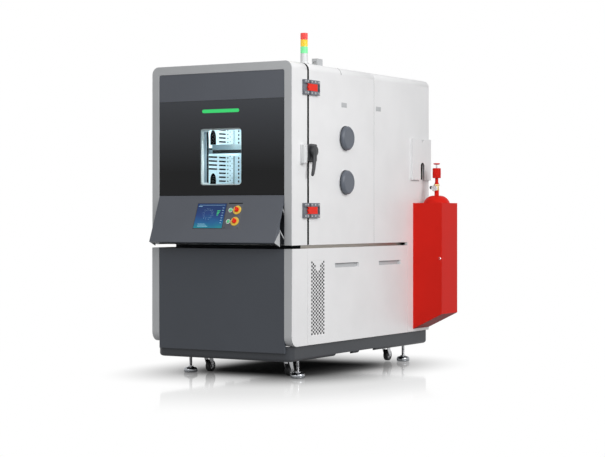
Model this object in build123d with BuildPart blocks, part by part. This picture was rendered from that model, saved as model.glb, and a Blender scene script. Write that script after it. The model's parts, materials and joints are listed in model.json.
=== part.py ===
from build123d import *
import math
import os

os.makedirs("parts", exist_ok=True)

# Environmental test chamber: an insulated cabinet with a windowed door, standing on a
# machine cabinet with the refrigeration plant, on levelling feet and casters.
# Millimetres. +Z is up, the door faces -Y, the latch side is +X.
# The origin is on the floor, in the middle of the overall box.

# Main body
body_w = 1010.0
body_d = 1800.0
corner_r = 46.0
sheet = 3.0
door_t = 179.0
seam_gap = 10.0
panel_gap = 2.0
fit_gap = 0.3
run_gap = 0.05

# Heights of the base, the lower cabinet and the groove between the two cabinets
plinth_z0 = 116.0
plinth_h = 92.0
deck_t = 6.0
plinth_inset = 20.0
lower_top = 787.0
groove_h = 20.0

# Front
bezel_w = 52.0
bezel_t = 14.0
header_h = 166.0
glass_h = 574.0
glass_gap = 1.0
cover_z0 = 168.0
cover_t = 18.0

# Console flap: hinged along its top edge, rests tilted out
flap_len = 292.0
flap_top = 10.0
flap_nose = 10.0
flap_fold = 17.0
flap_tilt = 21.7
flap_drop = 7.0
flap_head = 5.0

# Extinguisher bin on the latch side, and hinge knuckles on the other side
bin_out = 214.0
bin_d = 236.0
bin_y0 = body_d - bin_d
hinge_r = 11.0
hinge_off = 12.0

# The overall box runs from the flap's lower edge to the bin's rear, and from the hinges to the bin
tilt = math.radians(flap_tilt)
flap_reach = flap_len * math.sin(tilt) + flap_nose * math.cos(tilt) - flap_nose
rear_reach = max(body_d, bin_y0 + bin_d)
hinge_reach = hinge_off + hinge_r
x_mid = (hinge_reach - bin_out) / 2
y_front = flap_reach - (flap_reach + rear_reach) / 2

# Reference planes
x_l = x_mid - body_w / 2
x_r = x_mid + body_w / 2
y_door = y_front + door_t
y_body = y_door + seam_gap
y_seam = y_door + seam_gap / 2
y_rear = y_front + body_d
z_deck = plinth_z0 + plinth_h
z_floor = z_deck + deck_t
z_low = lower_top
z_up = z_low + groove_h
z_axis = z_up - flap_drop + flap_len
z_glass = z_axis + flap_top + flap_head
z_header = z_glass + glass_h + glass_gap
z_top = z_header + header_h + bezel_w
panel_half = body_w / 2 - bezel_w
skin_half = body_w / 2 - sheet
plinth_half = body_w / 2 - plinth_inset

# Chamber
chamber_w = 600.0
chamber_lift = 158.0
roof_wall = 185.0
work_d = 500.0
plenum_d = 187.0
duct_gap = 35.0
liner_t = 2.0
flange_t = 3.0
rear_wall_d = 105.0
x_cr = x_mid + chamber_w / 2
x_cl = x_mid - chamber_w / 2
x_duct = x_cl - duct_gap
y_c0 = y_body + flange_t
y_baffle = y_c0 + work_d
y_c1 = y_baffle + liner_t + plenum_d
z_c0 = z_up + chamber_lift
z_c1 = z_top - roof_wall
chamber_h = z_c1 - z_c0
z_mid = (z_c0 + z_c1) / 2

# Window in the door
win_w = 298.0
win_below = 62.0
win_above = 170.0
win_h = glass_h - win_below - win_above
win_r = 22.0
glass_t = 8.0
pane_lip = 6.0
tunnel_t = 2.0
tunnel_front = 71.0
tunnel_flare = 60.0

# Shell joint of the upper casing, and where the rear column starts
shell_split = 1018.0
column_y = 1484.0

# Side door hardware
plate_t = 8.0
plate_h = 89.0
plate_door = 55.0
plate_body = 110.0
bolt_t = 10.0
bolt_h = 43.0
bolt_len = 110.0
bolt_travel = 25.0
bolt_inset = 148.5
bolt_low = 208.0

# Ports through the side wall, and the square cut-outs that they pass in the hidden layers
port_r = 52.0
port_tube_t = 3.0
port_cut = port_r + port_tube_t + run_gap
port_ring_r = 78.0
port_ring_t = 6.0
port_cap_r = 74.0
port_cap_t = 26.0
port_nose = 66.0
port_y = 638.0
port_pitch = 274.0
port_drop = 13.0
y_port = y_front + port_y
port_zs = [z_mid - port_drop + sign * port_pitch / 2 for sign in (1, -1)]

# Feet and casters
foot_in = 92.0
foot_x = plinth_half - foot_in
foot_y = 256.0
rear_foot_in = 165.0
foot_pad_r = 44.0
foot_stud_r = 10.0
caster_in = 193.0
caster_x = plinth_half - caster_in
caster_y = 300.0
rear_caster_in = 226.0
caster_lift = 3.0
wheel_r = 37.5
wheel_w = 30.0
axle_r = 4.0
trail = 28.0
pin_r = 6.0


def block(x0, x1, y0, y1, z0, z1, mode=Mode.ADD):
    """A block between two opposite corners."""
    with Locations(((x0 + x1) / 2, (y0 + y1) / 2, (z0 + z1) / 2)):
        Box(x1 - x0, y1 - y0, z1 - z0, mode=mode)


def rod_x(x0, x1, y, z, r, mode=Mode.ADD):
    """A round bar or hole along X."""
    with Locations(((x0 + x1) / 2, y, z)):
        Cylinder(r, x1 - x0, rotation=(0, 90, 0), mode=mode)


def rod_y(x, y0, y1, z, r, mode=Mode.ADD):
    """A round bar or hole along Y."""
    with Locations((x, (y0 + y1) / 2, z)):
        Cylinder(r, y1 - y0, rotation=(90, 0, 0), mode=mode)


def rod_z(x, y, z0, z1, r, mode=Mode.ADD):
    """A round bar or hole along Z."""
    with Locations((x, y, (z0 + z1) / 2)):
        Cylinder(r, z1 - z0, mode=mode)


def arch(half_w, z0, z1, r, y0, y1, mode=Mode.ADD):
    """An upright prism with rounded top corners, centred on the body, from y0 back to y1."""
    with BuildSketch(Plane((x_mid, y0, 0), x_dir=(1, 0, 0), z_dir=(0, -1, 0))) as outline:
        with BuildLine():
            Polyline((-half_w, z0), (half_w, z0), (half_w, z1), (-half_w, z1), close=True)
        make_face()
        fillet(outline.vertices().group_by(Axis.Y)[-1], r)
    extrude(outline.sketch, amount=y0 - y1, mode=mode)


def window(w, h, r, y0, y1, mode=Mode.ADD):
    """A rounded rectangular prism along Y, centred on the chamber's window."""
    with BuildSketch(Plane((x_mid, y0, z_mid), x_dir=(1, 0, 0), z_dir=(0, -1, 0))) as outline:
        RectangleRounded(w, h, r)
    extrude(outline.sketch, amount=y0 - y1, mode=mode)


def side_profile(points, x0, x1, mode=Mode.ADD):
    """A prism along X with the given outline of (y, z) points."""
    with BuildSketch(Plane((x0, 0, 0), x_dir=(0, 1, 0), z_dir=(1, 0, 0))) as outline:
        with BuildLine():
            Polyline(*points, close=True)
        make_face()
    extrude(outline.sketch, amount=x1 - x0, mode=mode)


def toe_profile(y0, y1, z0, z1, r, x0, x1, mode=Mode.ADD):
    """A prism along X whose lower front corner is rounded."""
    with BuildSketch(Plane((x0, 0, 0), x_dir=(0, 1, 0), z_dir=(1, 0, 0))) as outline:
        with BuildLine():
            Line((y0 + r, z0), (y1, z0))
            Line((y1, z0), (y1, z1))
            Line((y1, z1), (y0, z1))
            Line((y0, z1), (y0, z0 + r))
            RadiusArc((y0, z0 + r), (y0 + r, z0), -r)
        make_face()
    extrude(outline.sketch, amount=x1 - x0, mode=mode)


def four_bars(half, y0, bar, z0, z1):
    """Two long bars and two cross bars round the cabinet, from y0 back to the rear column."""
    y1 = y_front + column_y
    for side in (-1, 1):
        outer = x_mid + side * half
        low_x = min(outer, outer - side * bar)
        block(low_x, low_x + bar, y0, y1, z0, z1)
    for low_y in (y0, y1 - bar):
        block(
            x_mid - half + bar + fit_gap, x_mid + half - bar - fit_gap, low_y, low_y + bar, z0, z1,
        )


def port_wall(x0, x1, y0, y1, z0, z1):
    """A wall in five parts that leave a square window round each cable port."""
    block(x0, x1, y0, y_port - port_cut - fit_gap, z0, z1)
    block(x0, x1, y_port + port_cut + fit_gap, y1, z0, z1)
    upper, lower = port_zs
    block(x0, x1, y_port - port_cut, y_port + port_cut, z0, lower - port_cut)
    block(x0, x1, y_port - port_cut, y_port + port_cut, lower + port_cut, upper - port_cut)
    block(x0, x1, y_port - port_cut, y_port + port_cut, upper + port_cut, z1)


def keep(part, name):
    """Label a finished piece and write its STEP file."""
    part.part.label = name
    export_step(part.part, f"parts/{name}.step")


# Base frame: plinth, deck, posts, ring beam and the core seen in the groove
plinth_wall = 24.0
plinth_r = 50.0
plinth_edge_r = 20.0
plinth_back = 5.0
plinth_back_r = 20.0
fold_d = 22.0
post = 50.0
post_wall = 4.0
beam_h = 40.0
core_w = 40.0
core_inset = 50.0
pad_t = 10.0
pad_edge = 60.0
pin_len = 20.0
notch_h = 14.0
notch_len = 220.0
notch_y = 560.0
notch_step = 300.0
y_plinth = y_front + 2.0 + cover_t
y_deck = y_front + 80.0
z_plate = z_deck + fit_gap
z_post = z_low - beam_h - fit_gap
z_beam = z_low - sheet
y_plinth_back = y_rear - plinth_back
post_half = body_w / 2 - fold_d
core_half = body_w / 2 - core_inset
post_ys = (y_seam - post / 2, y_front + column_y - post / 2, y_rear - sheet - post)
feet = [(x_mid + side * foot_x, y) for y in (y_front + foot_y, y_rear - rear_foot_in) for side in (-1, 1)]
casters = [
    (x_mid + side * caster_x, y)
    for y in (y_front + caster_y, y_rear - rear_caster_in)
    for side in (-1, 1)
]

with BuildPart() as base_frame:
    with BuildSketch(Plane.XY.offset(plinth_z0)) as plinth_plan:
        with Locations((x_mid, (y_plinth + y_plinth_back) / 2)):
            Rectangle(2 * plinth_half, y_plinth_back - y_plinth)
        front_corners, back_corners = plinth_plan.vertices().group_by(Axis.Y)
        fillet(front_corners, plinth_r)
        fillet(back_corners, plinth_back_r)
    extrude(amount=plinth_h)
    fillet(base_frame.edges().group_by(Axis.Z)[0], plinth_edge_r)
    block(
        x_mid - plinth_half + plinth_wall,
        x_mid + plinth_half - plinth_wall,
        y_plinth + plinth_wall,
        y_plinth_back - plinth_wall,
        plinth_z0,
        z_deck,
        mode=Mode.SUBTRACT,
    )
    for step in range(2):
        start = y_front + notch_y + step * notch_step
        block(
            x_mid - plinth_half, x_mid + plinth_half, start, start + notch_len,
            plinth_z0, plinth_z0 + notch_h, mode=Mode.SUBTRACT,
        )
    # The plinth is mitred into two long and two short members
    for y_cut in (y_plinth + plinth_r, y_plinth_back - plinth_wall - fit_gap):
        block(
            x_mid - plinth_half, x_mid + plinth_half, y_cut, y_cut + fit_gap,
            plinth_z0, z_deck, mode=Mode.SUBTRACT,
        )
    # Pads that carry the feet and the casters' king pins
    for (fx, fy), (cx, cy) in zip(feet, casters):
        side = 1 if fx > x_mid else -1
        wall_x = x_mid + side * (plinth_half - plinth_wall)
        inner_x = cx - side * pad_edge
        block(
            min(wall_x, inner_x), max(wall_x, inner_x), min(fy, cy) - pad_edge,
            max(fy, cy) + pad_edge, plinth_z0, plinth_z0 + pad_t,
        )
        rod_z(fx, fy, plinth_z0, plinth_z0 + pad_t, foot_stud_r + fit_gap, mode=Mode.SUBTRACT)
        rod_z(cx, cy, plinth_z0 - pin_len, plinth_z0, pin_r)
    # Deck in two plates on the plinth
    block(x_l + 2 * sheet, x_r - 2 * sheet, y_deck, y_rear - 2 * sheet, z_plate, z_floor)
    block(
        x_mid - panel_half, x_mid + panel_half, y_plinth + plinth_r, y_deck - fit_gap,
        z_plate, z_floor,
    )
    # Six square tube posts
    for py in post_ys:
        for side in (-1, 1):
            outer = x_mid + side * post_half
            low_x = min(outer, outer - side * post)
            block(low_x, low_x + post, py, py + post, z_floor + fit_gap, z_post)
            block(
                low_x + post_wall, low_x + post - post_wall, py + post_wall, py + post - post_wall,
                z_floor + fit_gap, z_post, mode=Mode.SUBTRACT,
            )
    # Bars on the posts, then the bars seen in the groove
    four_bars(post_half, post_ys[0], post, z_low - beam_h, z_beam)
    four_bars(core_half, y_seam, core_w, z_beam + fit_gap, z_up)
keep(base_frame, "base_frame")


# Levelling feet: rubber pad, steel bell, stud and lock nut
pad_h = 12.0
bell_h = 28.0
nut_r = 16.0
nut_h = 10.0
stud_above = 40.0

with BuildPart() as levelling_feet:
    for fx, fy in feet:
        with BuildSketch(Plane((fx, fy, 0), x_dir=(1, 0, 0), z_dir=(0, -1, 0))):
            with BuildLine():
                Line((0, 0), (foot_pad_r - 3.0, 0))
                Line((foot_pad_r - 3.0, 0), (foot_pad_r, pad_h))
                ThreePointArc(
                    (foot_pad_r, pad_h),
                    (foot_pad_r * 0.74, pad_h + bell_h * 0.66),
                    (foot_stud_r * 1.5, pad_h + bell_h),
                )
                Line((foot_stud_r * 1.5, pad_h + bell_h), (foot_stud_r, pad_h + bell_h))
                Line((foot_stud_r, pad_h + bell_h), (foot_stud_r, plinth_z0 + stud_above))
                Line((foot_stud_r, plinth_z0 + stud_above), (0, plinth_z0 + stud_above))
                Line((0, plinth_z0 + stud_above), (0, 0))
            make_face()
        revolve(axis=Axis((fx, fy, 0), (0, 0, 1)))
    for fx, fy in feet:
        with BuildSketch(Plane.XY.offset(plinth_z0 - nut_h)):
            with Locations((fx, fy)):
                RegularPolygon(nut_r, 6)
                Circle(foot_stud_r + run_gap, mode=Mode.SUBTRACT)
        extrude(amount=nut_h, mode=Mode.ADD)
keep(levelling_feet, "levelling_feet")


# Casters: each fork turns on the king pin under the plinth, and carries its wheel on an axle
fork_t = 4.0
fork_gap = 1.5
head_r = 28.0
head_top = plinth_z0 - fit_gap
head_t = 14.0
axle_z = caster_lift + wheel_r


def fork(cx, cy):
    """One caster fork with its axle, trailing towards the rear."""
    rod_z(cx, cy, head_top - head_t, head_top, head_r)
    rod_z(cx, cy, plinth_z0 - pin_len - fit_gap, plinth_z0, pin_r + run_gap, mode=Mode.SUBTRACT)
    for side in (-1, 1):
        inner = cx + side * (wheel_w / 2 + fork_gap)
        outer = inner + side * fork_t
        side_profile(
            [
                (cy - 18.0, head_top - head_t),
                (cy + 26.0, head_top - head_t),
                (cy + trail + 13.0, axle_z + 6.0),
                (cy + trail + 9.0, axle_z - 9.0),
                (cy + trail - 9.0, axle_z - 9.0),
            ],
            min(inner, outer),
            max(inner, outer),
        )
    block(
        cx - wheel_w / 2 - fork_gap - fork_t, cx + wheel_w / 2 + fork_gap + fork_t,
        cy - 18.0, cy + 26.0, head_top - head_t - 6.0, head_top - head_t + 1.0,
    )
    rod_z(cx, cy, plinth_z0 - pin_len - fit_gap, plinth_z0, pin_r + run_gap, mode=Mode.SUBTRACT)
    rod_x(
        cx - wheel_w / 2 - fork_gap - fork_t - 3.0, cx + wheel_w / 2 + fork_gap + fork_t + 3.0,
        cy + trail, axle_z, axle_r,
    )


with BuildPart() as caster_fork_left:
    fork(*casters[0])
keep(caster_fork_left, "caster_fork_left")

with BuildPart() as caster_fork_right:
    fork(*casters[1])
keep(caster_fork_right, "caster_fork_right")

with BuildPart() as caster_forks_rear:
    fork(*casters[2])
    fork(*casters[3])
keep(caster_forks_rear, "caster_forks_rear")

wheel_names = ("wheel_front_left", "wheel_front_right", "wheel_rear_left", "wheel_rear_right")
for wheel_name, (cx, cy) in zip(wheel_names, casters):
    with BuildPart() as wheel:
        rod_x(cx - wheel_w / 2, cx + wheel_w / 2, cy + trail, axle_z, wheel_r)
        fillet(wheel.edges().filter_by(GeomType.CIRCLE), 6.0)
        for side in (-1, 1):
            face_x = cx + side * wheel_w / 2
            deep_x = face_x - side * 5.0
            rod_x(min(face_x, deep_x), max(face_x, deep_x), cy + trail, axle_z, 22.0, mode=Mode.SUBTRACT)
            rod_x(min(face_x, deep_x), max(face_x, deep_x), cy + trail, axle_z, 11.0)
        rod_x(cx - wheel_w, cx + wheel_w, cy + trail, axle_z, axle_r + run_gap, mode=Mode.SUBTRACT)
    keep(wheel, wheel_name)


# Lower front: grey strips that curl under, white returns and the dark cover
strip_t = 8.0
toe_r = 60.0
z_skirt = z_deck
y_post_face = y_seam - panel_gap / 2

with BuildPart() as lower_bezel:
    for side in (-1, 1):
        outer = x_mid + side * body_w / 2
        inner = x_mid + side * panel_half
        x0, x1 = min(outer, inner), max(outer, inner)
        toe_profile(y_front, y_front + toe_r + strip_t + 2.0, z_skirt, z_low, toe_r, x0, x1)
        toe_profile(
            y_front + strip_t, y_body, z_skirt, z_low + sheet, toe_r, x0, x1,
            mode=Mode.SUBTRACT,
        )
keep(lower_bezel, "lower_bezel")

rear_y0 = y_front + column_y + panel_gap / 2
louvre_w = 300.0
louvre_h = 10.0
louvre_rows = 14
louvre_pitch = 26.0
louvre_z0 = 300.0

with BuildPart() as fixed_panels:
    for side in (-1, 1):
        outer = x_mid + side * body_w / 2
        inner = outer - side * sheet
        toe_profile(
            y_front + strip_t + fit_gap, y_post_face, z_skirt, z_low, toe_r,
            min(outer, inner), max(outer, inner),
        )
        lip = outer - side * fold_d
        block(min(outer, lip), max(outer, lip), y_post_face - sheet, y_post_face, z_floor, z_low)
        block(
            min(outer, lip), max(outer, lip), y_deck, y_post_face, z_floor, z_floor + sheet,
        )
    block(
        x_l + sheet + fit_gap, x_r - sheet - fit_gap, y_front + cover_t + sheet,
        y_post_face - sheet - fit_gap, z_beam, z_low,
    )
    # Left side panel, with its edges folded in
    block(
        x_l, x_l + fold_d, y_seam + panel_gap / 2, y_front + column_y - panel_gap / 2,
        z_skirt, z_low,
    )
    block(
        x_l + sheet, x_l + fold_d, y_seam + panel_gap / 2 + sheet,
        y_front + column_y - panel_gap / 2 - sheet, z_skirt, z_low - sheet, mode=Mode.SUBTRACT,
    )
    block(
        x_l + sheet, x_l + fold_d, y_seam, y_front + column_y, z_skirt, z_floor,
        mode=Mode.SUBTRACT,
    )
    block(
        x_l + sheet, x_l + 2 * fold_d, y_seam + post, y_front + column_y - post,
        z_floor, z_floor + sheet,
    )
    # Rear panel with louvres
    arch(skin_half, z_skirt, z_top - sheet, corner_r - sheet, y_rear - sheet, y_rear)
    for row in range(louvre_rows):
        for side in (-1, 1):
            low_x = x_mid + side * (louvre_w / 2 + 40.0) - louvre_w / 2
            low_z = louvre_z0 + row * louvre_pitch
            block(
                low_x, low_x + louvre_w, y_rear - sheet, y_rear, low_z, low_z + louvre_h,
                mode=Mode.SUBTRACT,
            )
keep(fixed_panels, "fixed_panels")

with BuildPart() as lower_front_cover:
    y0 = y_front + 2.0
    half = panel_half - 0.5
    block(x_mid - half, x_mid + half, y0, y0 + cover_t, cover_z0, z_low - 1.0)
    fillet(lower_front_cover.faces().sort_by(Axis.Y)[0].edges(), 2.0)
    block(
        x_mid - half + sheet, x_mid + half - sheet, y0 + sheet, y0 + cover_t,
        cover_z0 + sheet, z_low - 1.0 - sheet, mode=Mode.SUBTRACT,
    )
keep(lower_front_cover, "lower_front_cover")


# Removable side panel with two finger pulls and a window for the vent grille
pull_w = 300.0
pull_h = 27.0
pull_d = 19.0
pull_y = 514.0
pull_step = 570.0
pull_z = 664.0
vent_y0 = 226.0
vent_y1 = 385.0
vent_z0 = 261.0
vent_z1 = 714.0
vent_v = 62.0
vent_r = 4.6
vent_cols = 9
vent_rows = 20
grille_t = 2.0
panel_y0 = y_seam + panel_gap / 2
panel_y1 = y_front + column_y - panel_gap / 2

with BuildPart() as side_panel:
    block(x_r - fold_d, x_r, panel_y0, panel_y1, z_skirt, z_low)
    block(
        x_r - fold_d, x_r - sheet, panel_y0 + sheet, panel_y1 - sheet, z_skirt, z_low - sheet,
        mode=Mode.SUBTRACT,
    )
    block(
        x_r - fold_d, x_r - sheet, y_seam, y_front + column_y, z_skirt, z_floor,
        mode=Mode.SUBTRACT,
    )
    block(
        x_r - 2 * fold_d, x_r - sheet, y_seam + post, y_front + column_y - post,
        z_floor, z_floor + sheet,
    )
    for step in range(2):
        y0 = y_front + pull_y + step * pull_step
        z0 = pull_z
        block(x_r - pull_d, x_r - sheet, y0 - sheet, y0 + pull_w + sheet, z0 - sheet, z0 + pull_h + sheet)
        block(
            x_r - pull_d + sheet, x_r, y0, y0 + pull_w, z0, z0 + pull_h, mode=Mode.SUBTRACT,
        )
    block(
        x_r - sheet, x_r, y_front + vent_y0, y_front + vent_y1, vent_z0, vent_z1, mode=Mode.SUBTRACT,
    )
keep(side_panel, "side_panel")

with BuildPart() as vent_grille:
    vent_w = vent_y1 - vent_y0
    vent_h = vent_z1 - vent_z0
    col_pitch = vent_w / vent_cols
    row_pitch = vent_h / vent_rows
    y_vent = y_front + (vent_y0 + vent_y1) / 2
    with BuildSketch(Plane((x_r - sheet, y_vent, vent_z0), x_dir=(0, 1, 0), z_dir=(1, 0, 0))):
        with Locations((0, vent_h / 2)):
            Rectangle(vent_w, vent_h)
        holes = []
        for col in range(vent_cols):
            across = (col + 0.5) * col_pitch - vent_w / 2
            for row in range(vent_rows):
                up = (row + 0.5 + 0.5 * (col % 2)) * row_pitch
                notch_z = vent_h - vent_v * (1 - 2 * abs(across) / vent_w)
                if up < min(notch_z, vent_h) - vent_r:
                    holes.append((across, up))
        with Locations(*holes):
            Circle(vent_r, mode=Mode.SUBTRACT)
    extrude(amount=grille_t)
keep(vent_grille, "vent_grille")


# Upper casing: a closed tube of sheet round the chamber, and the plant shell behind it
with BuildPart() as upper_shell:
    arch(body_w / 2, z_up, z_top, corner_r, y_body, y_front + shell_split - panel_gap / 2)
    arch(
        skin_half, z_up + sheet, z_top - sheet, corner_r - sheet, y_body, y_front + shell_split,
        mode=Mode.SUBTRACT,
    )
    for pz in port_zs:
        rod_x(x_r - sheet, x_r, y_port, pz, port_r + port_tube_t, mode=Mode.SUBTRACT)
keep(upper_shell, "upper_shell")

with BuildPart() as plant_shell:
    y0 = y_front + shell_split + panel_gap / 2
    arch(body_w / 2, z_skirt, z_top, corner_r, y0, y_rear)
    arch(skin_half, z_skirt, z_top - sheet, corner_r - sheet, y0, y_rear, mode=Mode.SUBTRACT)
    block(x_l, x_r, y0, rear_y0, z_skirt, z_up, mode=Mode.SUBTRACT)
    for side in (-1, 1):
        outer = x_mid + side * skin_half
        lip = x_mid + side * post_half
        seat = x_mid + side * (core_half - core_w / 2)
        x0, x1 = min(outer, lip), max(outer, lip)
        block(x0, x1, rear_y0, y_rear - sheet, z_floor, z_floor + sheet)
        block(x0, x1, rear_y0, rear_y0 + sheet, z_floor, z_up + sheet)
        block(min(outer, seat), max(outer, seat), y0, rear_y0, z_up, z_up + sheet)
keep(plant_shell, "plant_shell")


# Chamber liner: welded stainless box with a front flange, open to the front
shaft_r = 8.0
shaft_rise = 170.0
shaft_z = z_mid + shaft_rise
motor_x = x_mid

flange_in = 4.0
flange_up = 8.0
flange_half = skin_half - flange_in
y_flange = y_c0 - fit_gap
y_c2 = y_c1 + liner_t
z_wall0 = z_c0 + fit_gap
z_wall1 = z_c1 - fit_gap

with BuildPart() as chamber_liner:
    # Floor, roof, left wall and right wall
    for low_z in (z_c0 - liner_t, z_c1):
        block(x_duct - liner_t, x_cr + liner_t, y_c0, y_c1, low_z, low_z + liner_t)
    block(x_duct - liner_t, x_duct, y_c0, y_c1, z_wall0, z_wall1)
    port_wall(x_cr, x_cr + liner_t, y_c0, y_c1, z_wall0, z_wall1)
    # Rear wall with the shaft hole
    block(
        x_duct - liner_t, x_cr + liner_t, y_c1 + fit_gap, y_c2, z_c0 - liner_t, z_c1 + liner_t,
    )
    rod_y(motor_x, y_c1, y_c2, shaft_z, shaft_r + 2.0, mode=Mode.SUBTRACT)
    # Front flange in four strips
    arch(flange_half, z_c1, z_top - flange_up, corner_r - flange_up, y_body, y_flange)
    block(x_duct + fit_gap, x_cr - fit_gap, y_body, y_flange, z_up + flange_up, z_c0)
    block(x_mid - flange_half, x_duct, y_body, y_flange, z_up + flange_up, z_wall1)
    block(x_cr, x_mid + flange_half, y_body, y_flange, z_up + flange_up, z_wall1)
keep(chamber_liner, "chamber_liner")

y_foam1 = y_c1 + rear_wall_d
z_foam0 = z_c0 - liner_t
z_foam1 = z_c1 + liner_t

with BuildPart() as insulation:
    # Floor, roof, left and right slabs, then the rear slab with the shaft hole
    block(x_mid - skin_half, x_mid + skin_half, y_c0, y_c2, z_up + sheet, z_foam0)
    block(x_mid - skin_half, x_mid + skin_half, y_c0, y_c2, z_foam1, z_top - corner_r)
    block(
        x_mid - skin_half, x_duct - liner_t, y_c0, y_c2, z_foam0 + fit_gap, z_foam1 - fit_gap,
    )
    port_wall(
        x_cr + liner_t, x_mid + skin_half, y_c0, y_c2, z_foam0 + fit_gap, z_foam1 - fit_gap,
    )
    block(
        x_mid - skin_half, x_mid + skin_half, y_c2 + fit_gap, y_foam1, z_up + sheet,
        z_top - corner_r,
    )
    rod_y(motor_x, y_c2, y_foam1, shaft_z, shaft_r + 6.0, mode=Mode.SUBTRACT)
keep(insulation, "insulation")


# Air baffles: slotted duct plate on the hinge side, and the rear baffle with the fan inlet
slot_h = 11.0
slot_pitch = 25.0
slot_margin = 30.0
long_slot = (436.0, 100.0)
short_slot = (504.0, 14.0)
mid_slot = (336.0, 52.0)
mid_rows = 6
dot_r = 3.0
dot_ys = (526.0, 539.0)
bullet_w = 60.0
bullet_h = 93.0
bullet_off = 89.0
inlet_r = 150.0
vent_rise = 120.0

with BuildPart() as air_baffles:
    block(x_cl - liner_t, x_cl, y_c0 + 2.0, y_baffle - fit_gap, z_c0, z_c1)
    with BuildSketch(Plane((x_cl - liner_t, y_front, z_mid), x_dir=(0, 1, 0), z_dir=(1, 0, 0))):
        slot_rows = int((chamber_h - 2 * slot_margin) / slot_pitch)
        for y_slot, w_slot in (long_slot, short_slot):
            with Locations((y_slot, 0)):
                with GridLocations(1.0, slot_pitch, 1, slot_rows):
                    SlotOverall(w_slot, slot_h)
        with Locations((mid_slot[0], 0)):
            with GridLocations(1.0, slot_pitch, 1, mid_rows):
                SlotOverall(mid_slot[1], slot_h)
        for column, y_dot in enumerate(dot_ys):
            with Locations((y_dot, column * slot_pitch / 2)):
                with GridLocations(1.0, slot_pitch, 1, slot_rows - 1):
                    Circle(dot_r)
        # Two openings with round tops and flat bottoms
        for low in (bullet_off, -bullet_off - bullet_h):
            with Locations((mid_slot[0], low + (bullet_h - bullet_w / 2) / 2)):
                Rectangle(bullet_w, bullet_h - bullet_w / 2)
            with Locations((mid_slot[0], low + bullet_h - bullet_w / 2)):
                Circle(bullet_w / 2)
    extrude(amount=liner_t, mode=Mode.SUBTRACT)
    block(x_duct, x_cr, y_baffle, y_baffle + liner_t, z_c0, z_c1)
    rod_y(motor_x, y_baffle, y_baffle + liner_t, shaft_z, inlet_r, mode=Mode.SUBTRACT)
    with BuildSketch(Plane((motor_x, y_baffle, z_c0), x_dir=(1, 0, 0), z_dir=(0, -1, 0))):
        with Locations((0, vent_rise)):
            with GridLocations(1.0, slot_pitch, 1, 5):
                SlotOverall(chamber_w - 180.0, slot_h)
    extrude(amount=-liner_t, mode=Mode.SUBTRACT)
keep(air_baffles, "air_baffles")


# Shelf rack: four upright rails with holes, and a folded shelf plate
rail_w = 38.0
rail_t = 6.0
rail_front = 255.0
rail_left = 631.0
rail_right = 560.0
rail_hole_r = 6.0
rail_pitch = 40.0
shelf_z = z_mid + 52.0
shelf_t = 4.0
shelf_lip = 24.0
shelf_back = 650.0

with BuildPart() as shelf_rack:
    for side, y_rail in ((-1, rail_front), (-1, rail_left), (1, rail_front), (1, rail_right)):
        wall = x_cl if side < 0 else x_cr
        face = wall - side * rail_t
        x0, x1 = min(wall, face), max(wall, face)
        y0 = y_front + y_rail - rail_w / 2
        block(x0, x1, y0, y0 + rail_w, z_c0, z_c1)
        for row in range(int(chamber_h / rail_pitch) - 1):
            rod_x(
                x0, x1, y0 + rail_w / 2, z_c0 + (row + 1) * rail_pitch, rail_hole_r,
                mode=Mode.SUBTRACT,
            )
    x0, x1 = x_cl + rail_t + fit_gap, x_cr - rail_t - fit_gap
    y0 = y_front + rail_front - rail_w / 2
    y1 = y_front + shelf_back
    block(x0, x1, y0, y1, shelf_z - shelf_lip, shelf_z)
    block(
        x0 + shelf_t, x1 - shelf_t, y0 + shelf_t, y1 - shelf_t,
        shelf_z - shelf_lip, shelf_z - shelf_t, mode=Mode.SUBTRACT,
    )
    with BuildSketch(Plane.XY.offset(shelf_z - shelf_t)):
        with Locations((x_mid, (y0 + y1) / 2)):
            with GridLocations(60.0, 60.0, 8, 6):
                SlotOverall(40.0, 12.0)
    extrude(amount=shelf_t, mode=Mode.SUBTRACT)
keep(shelf_rack, "shelf_rack")

lamp_w = 260.0
with BuildPart() as chamber_lamp:
    block(x_mid - lamp_w / 2, x_mid + lamp_w / 2, y_c0 + 30.0, y_c0 + 66.0, z_c1 - 16.0, z_c1)
    fillet(chamber_lamp.edges().group_by(Axis.Z)[0], 5.0)
keep(chamber_lamp, "chamber_lamp")


# Circulation fan: motor behind the insulation, shaft through the rear wall, impeller in the plenum
motor_r = 85.0
motor_len = 200.0
motor_plate = 8.0
fan_r = 165.0
fan_w = 60.0
fan_y = y_c1 - 40.0 - fan_w
blade_count = 10

with BuildPart() as fan_motor:
    y0 = y_foam1
    block(motor_x - 130.0, motor_x + 130.0, y0, y0 + motor_plate, shaft_z - 130.0, shaft_z + 130.0)
    rod_y(motor_x, y0 + motor_plate, y0 + motor_plate + motor_len, shaft_z, motor_r)
    fillet(fan_motor.faces().sort_by(Axis.Y)[-1].edges(), 12.0)
    rod_y(motor_x, y0, y0 + motor_plate + 90.0, shaft_z, shaft_r + run_gap, mode=Mode.SUBTRACT)
keep(fan_motor, "fan_motor")

with BuildPart() as fan_impeller:
    rod_y(motor_x, fan_y, y_foam1 + motor_plate + 90.0 - 1.0, shaft_z, shaft_r)
    rod_y(motor_x, fan_y, fan_y + fan_w, shaft_z, 32.0)
    rod_y(motor_x, fan_y + fan_w - 4.0, fan_y + fan_w, shaft_z, fan_r)
    for blade in range(blade_count):
        turn = 360.0 * blade / blade_count
        with BuildSketch(Plane((motor_x, fan_y, shaft_z), x_dir=(1, 0, 0), z_dir=(0, -1, 0))) as vane:
            with Locations(Location((0, 0, 0), turn)):
                with Locations(((fan_r + 28.0) / 2, 0)):
                    Rectangle(fan_r - 30.0, 4.0, rotation=8.0)
        extrude(vane.sketch, amount=-(fan_w - 3.0))
keep(fan_impeller, "fan_impeller")

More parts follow.
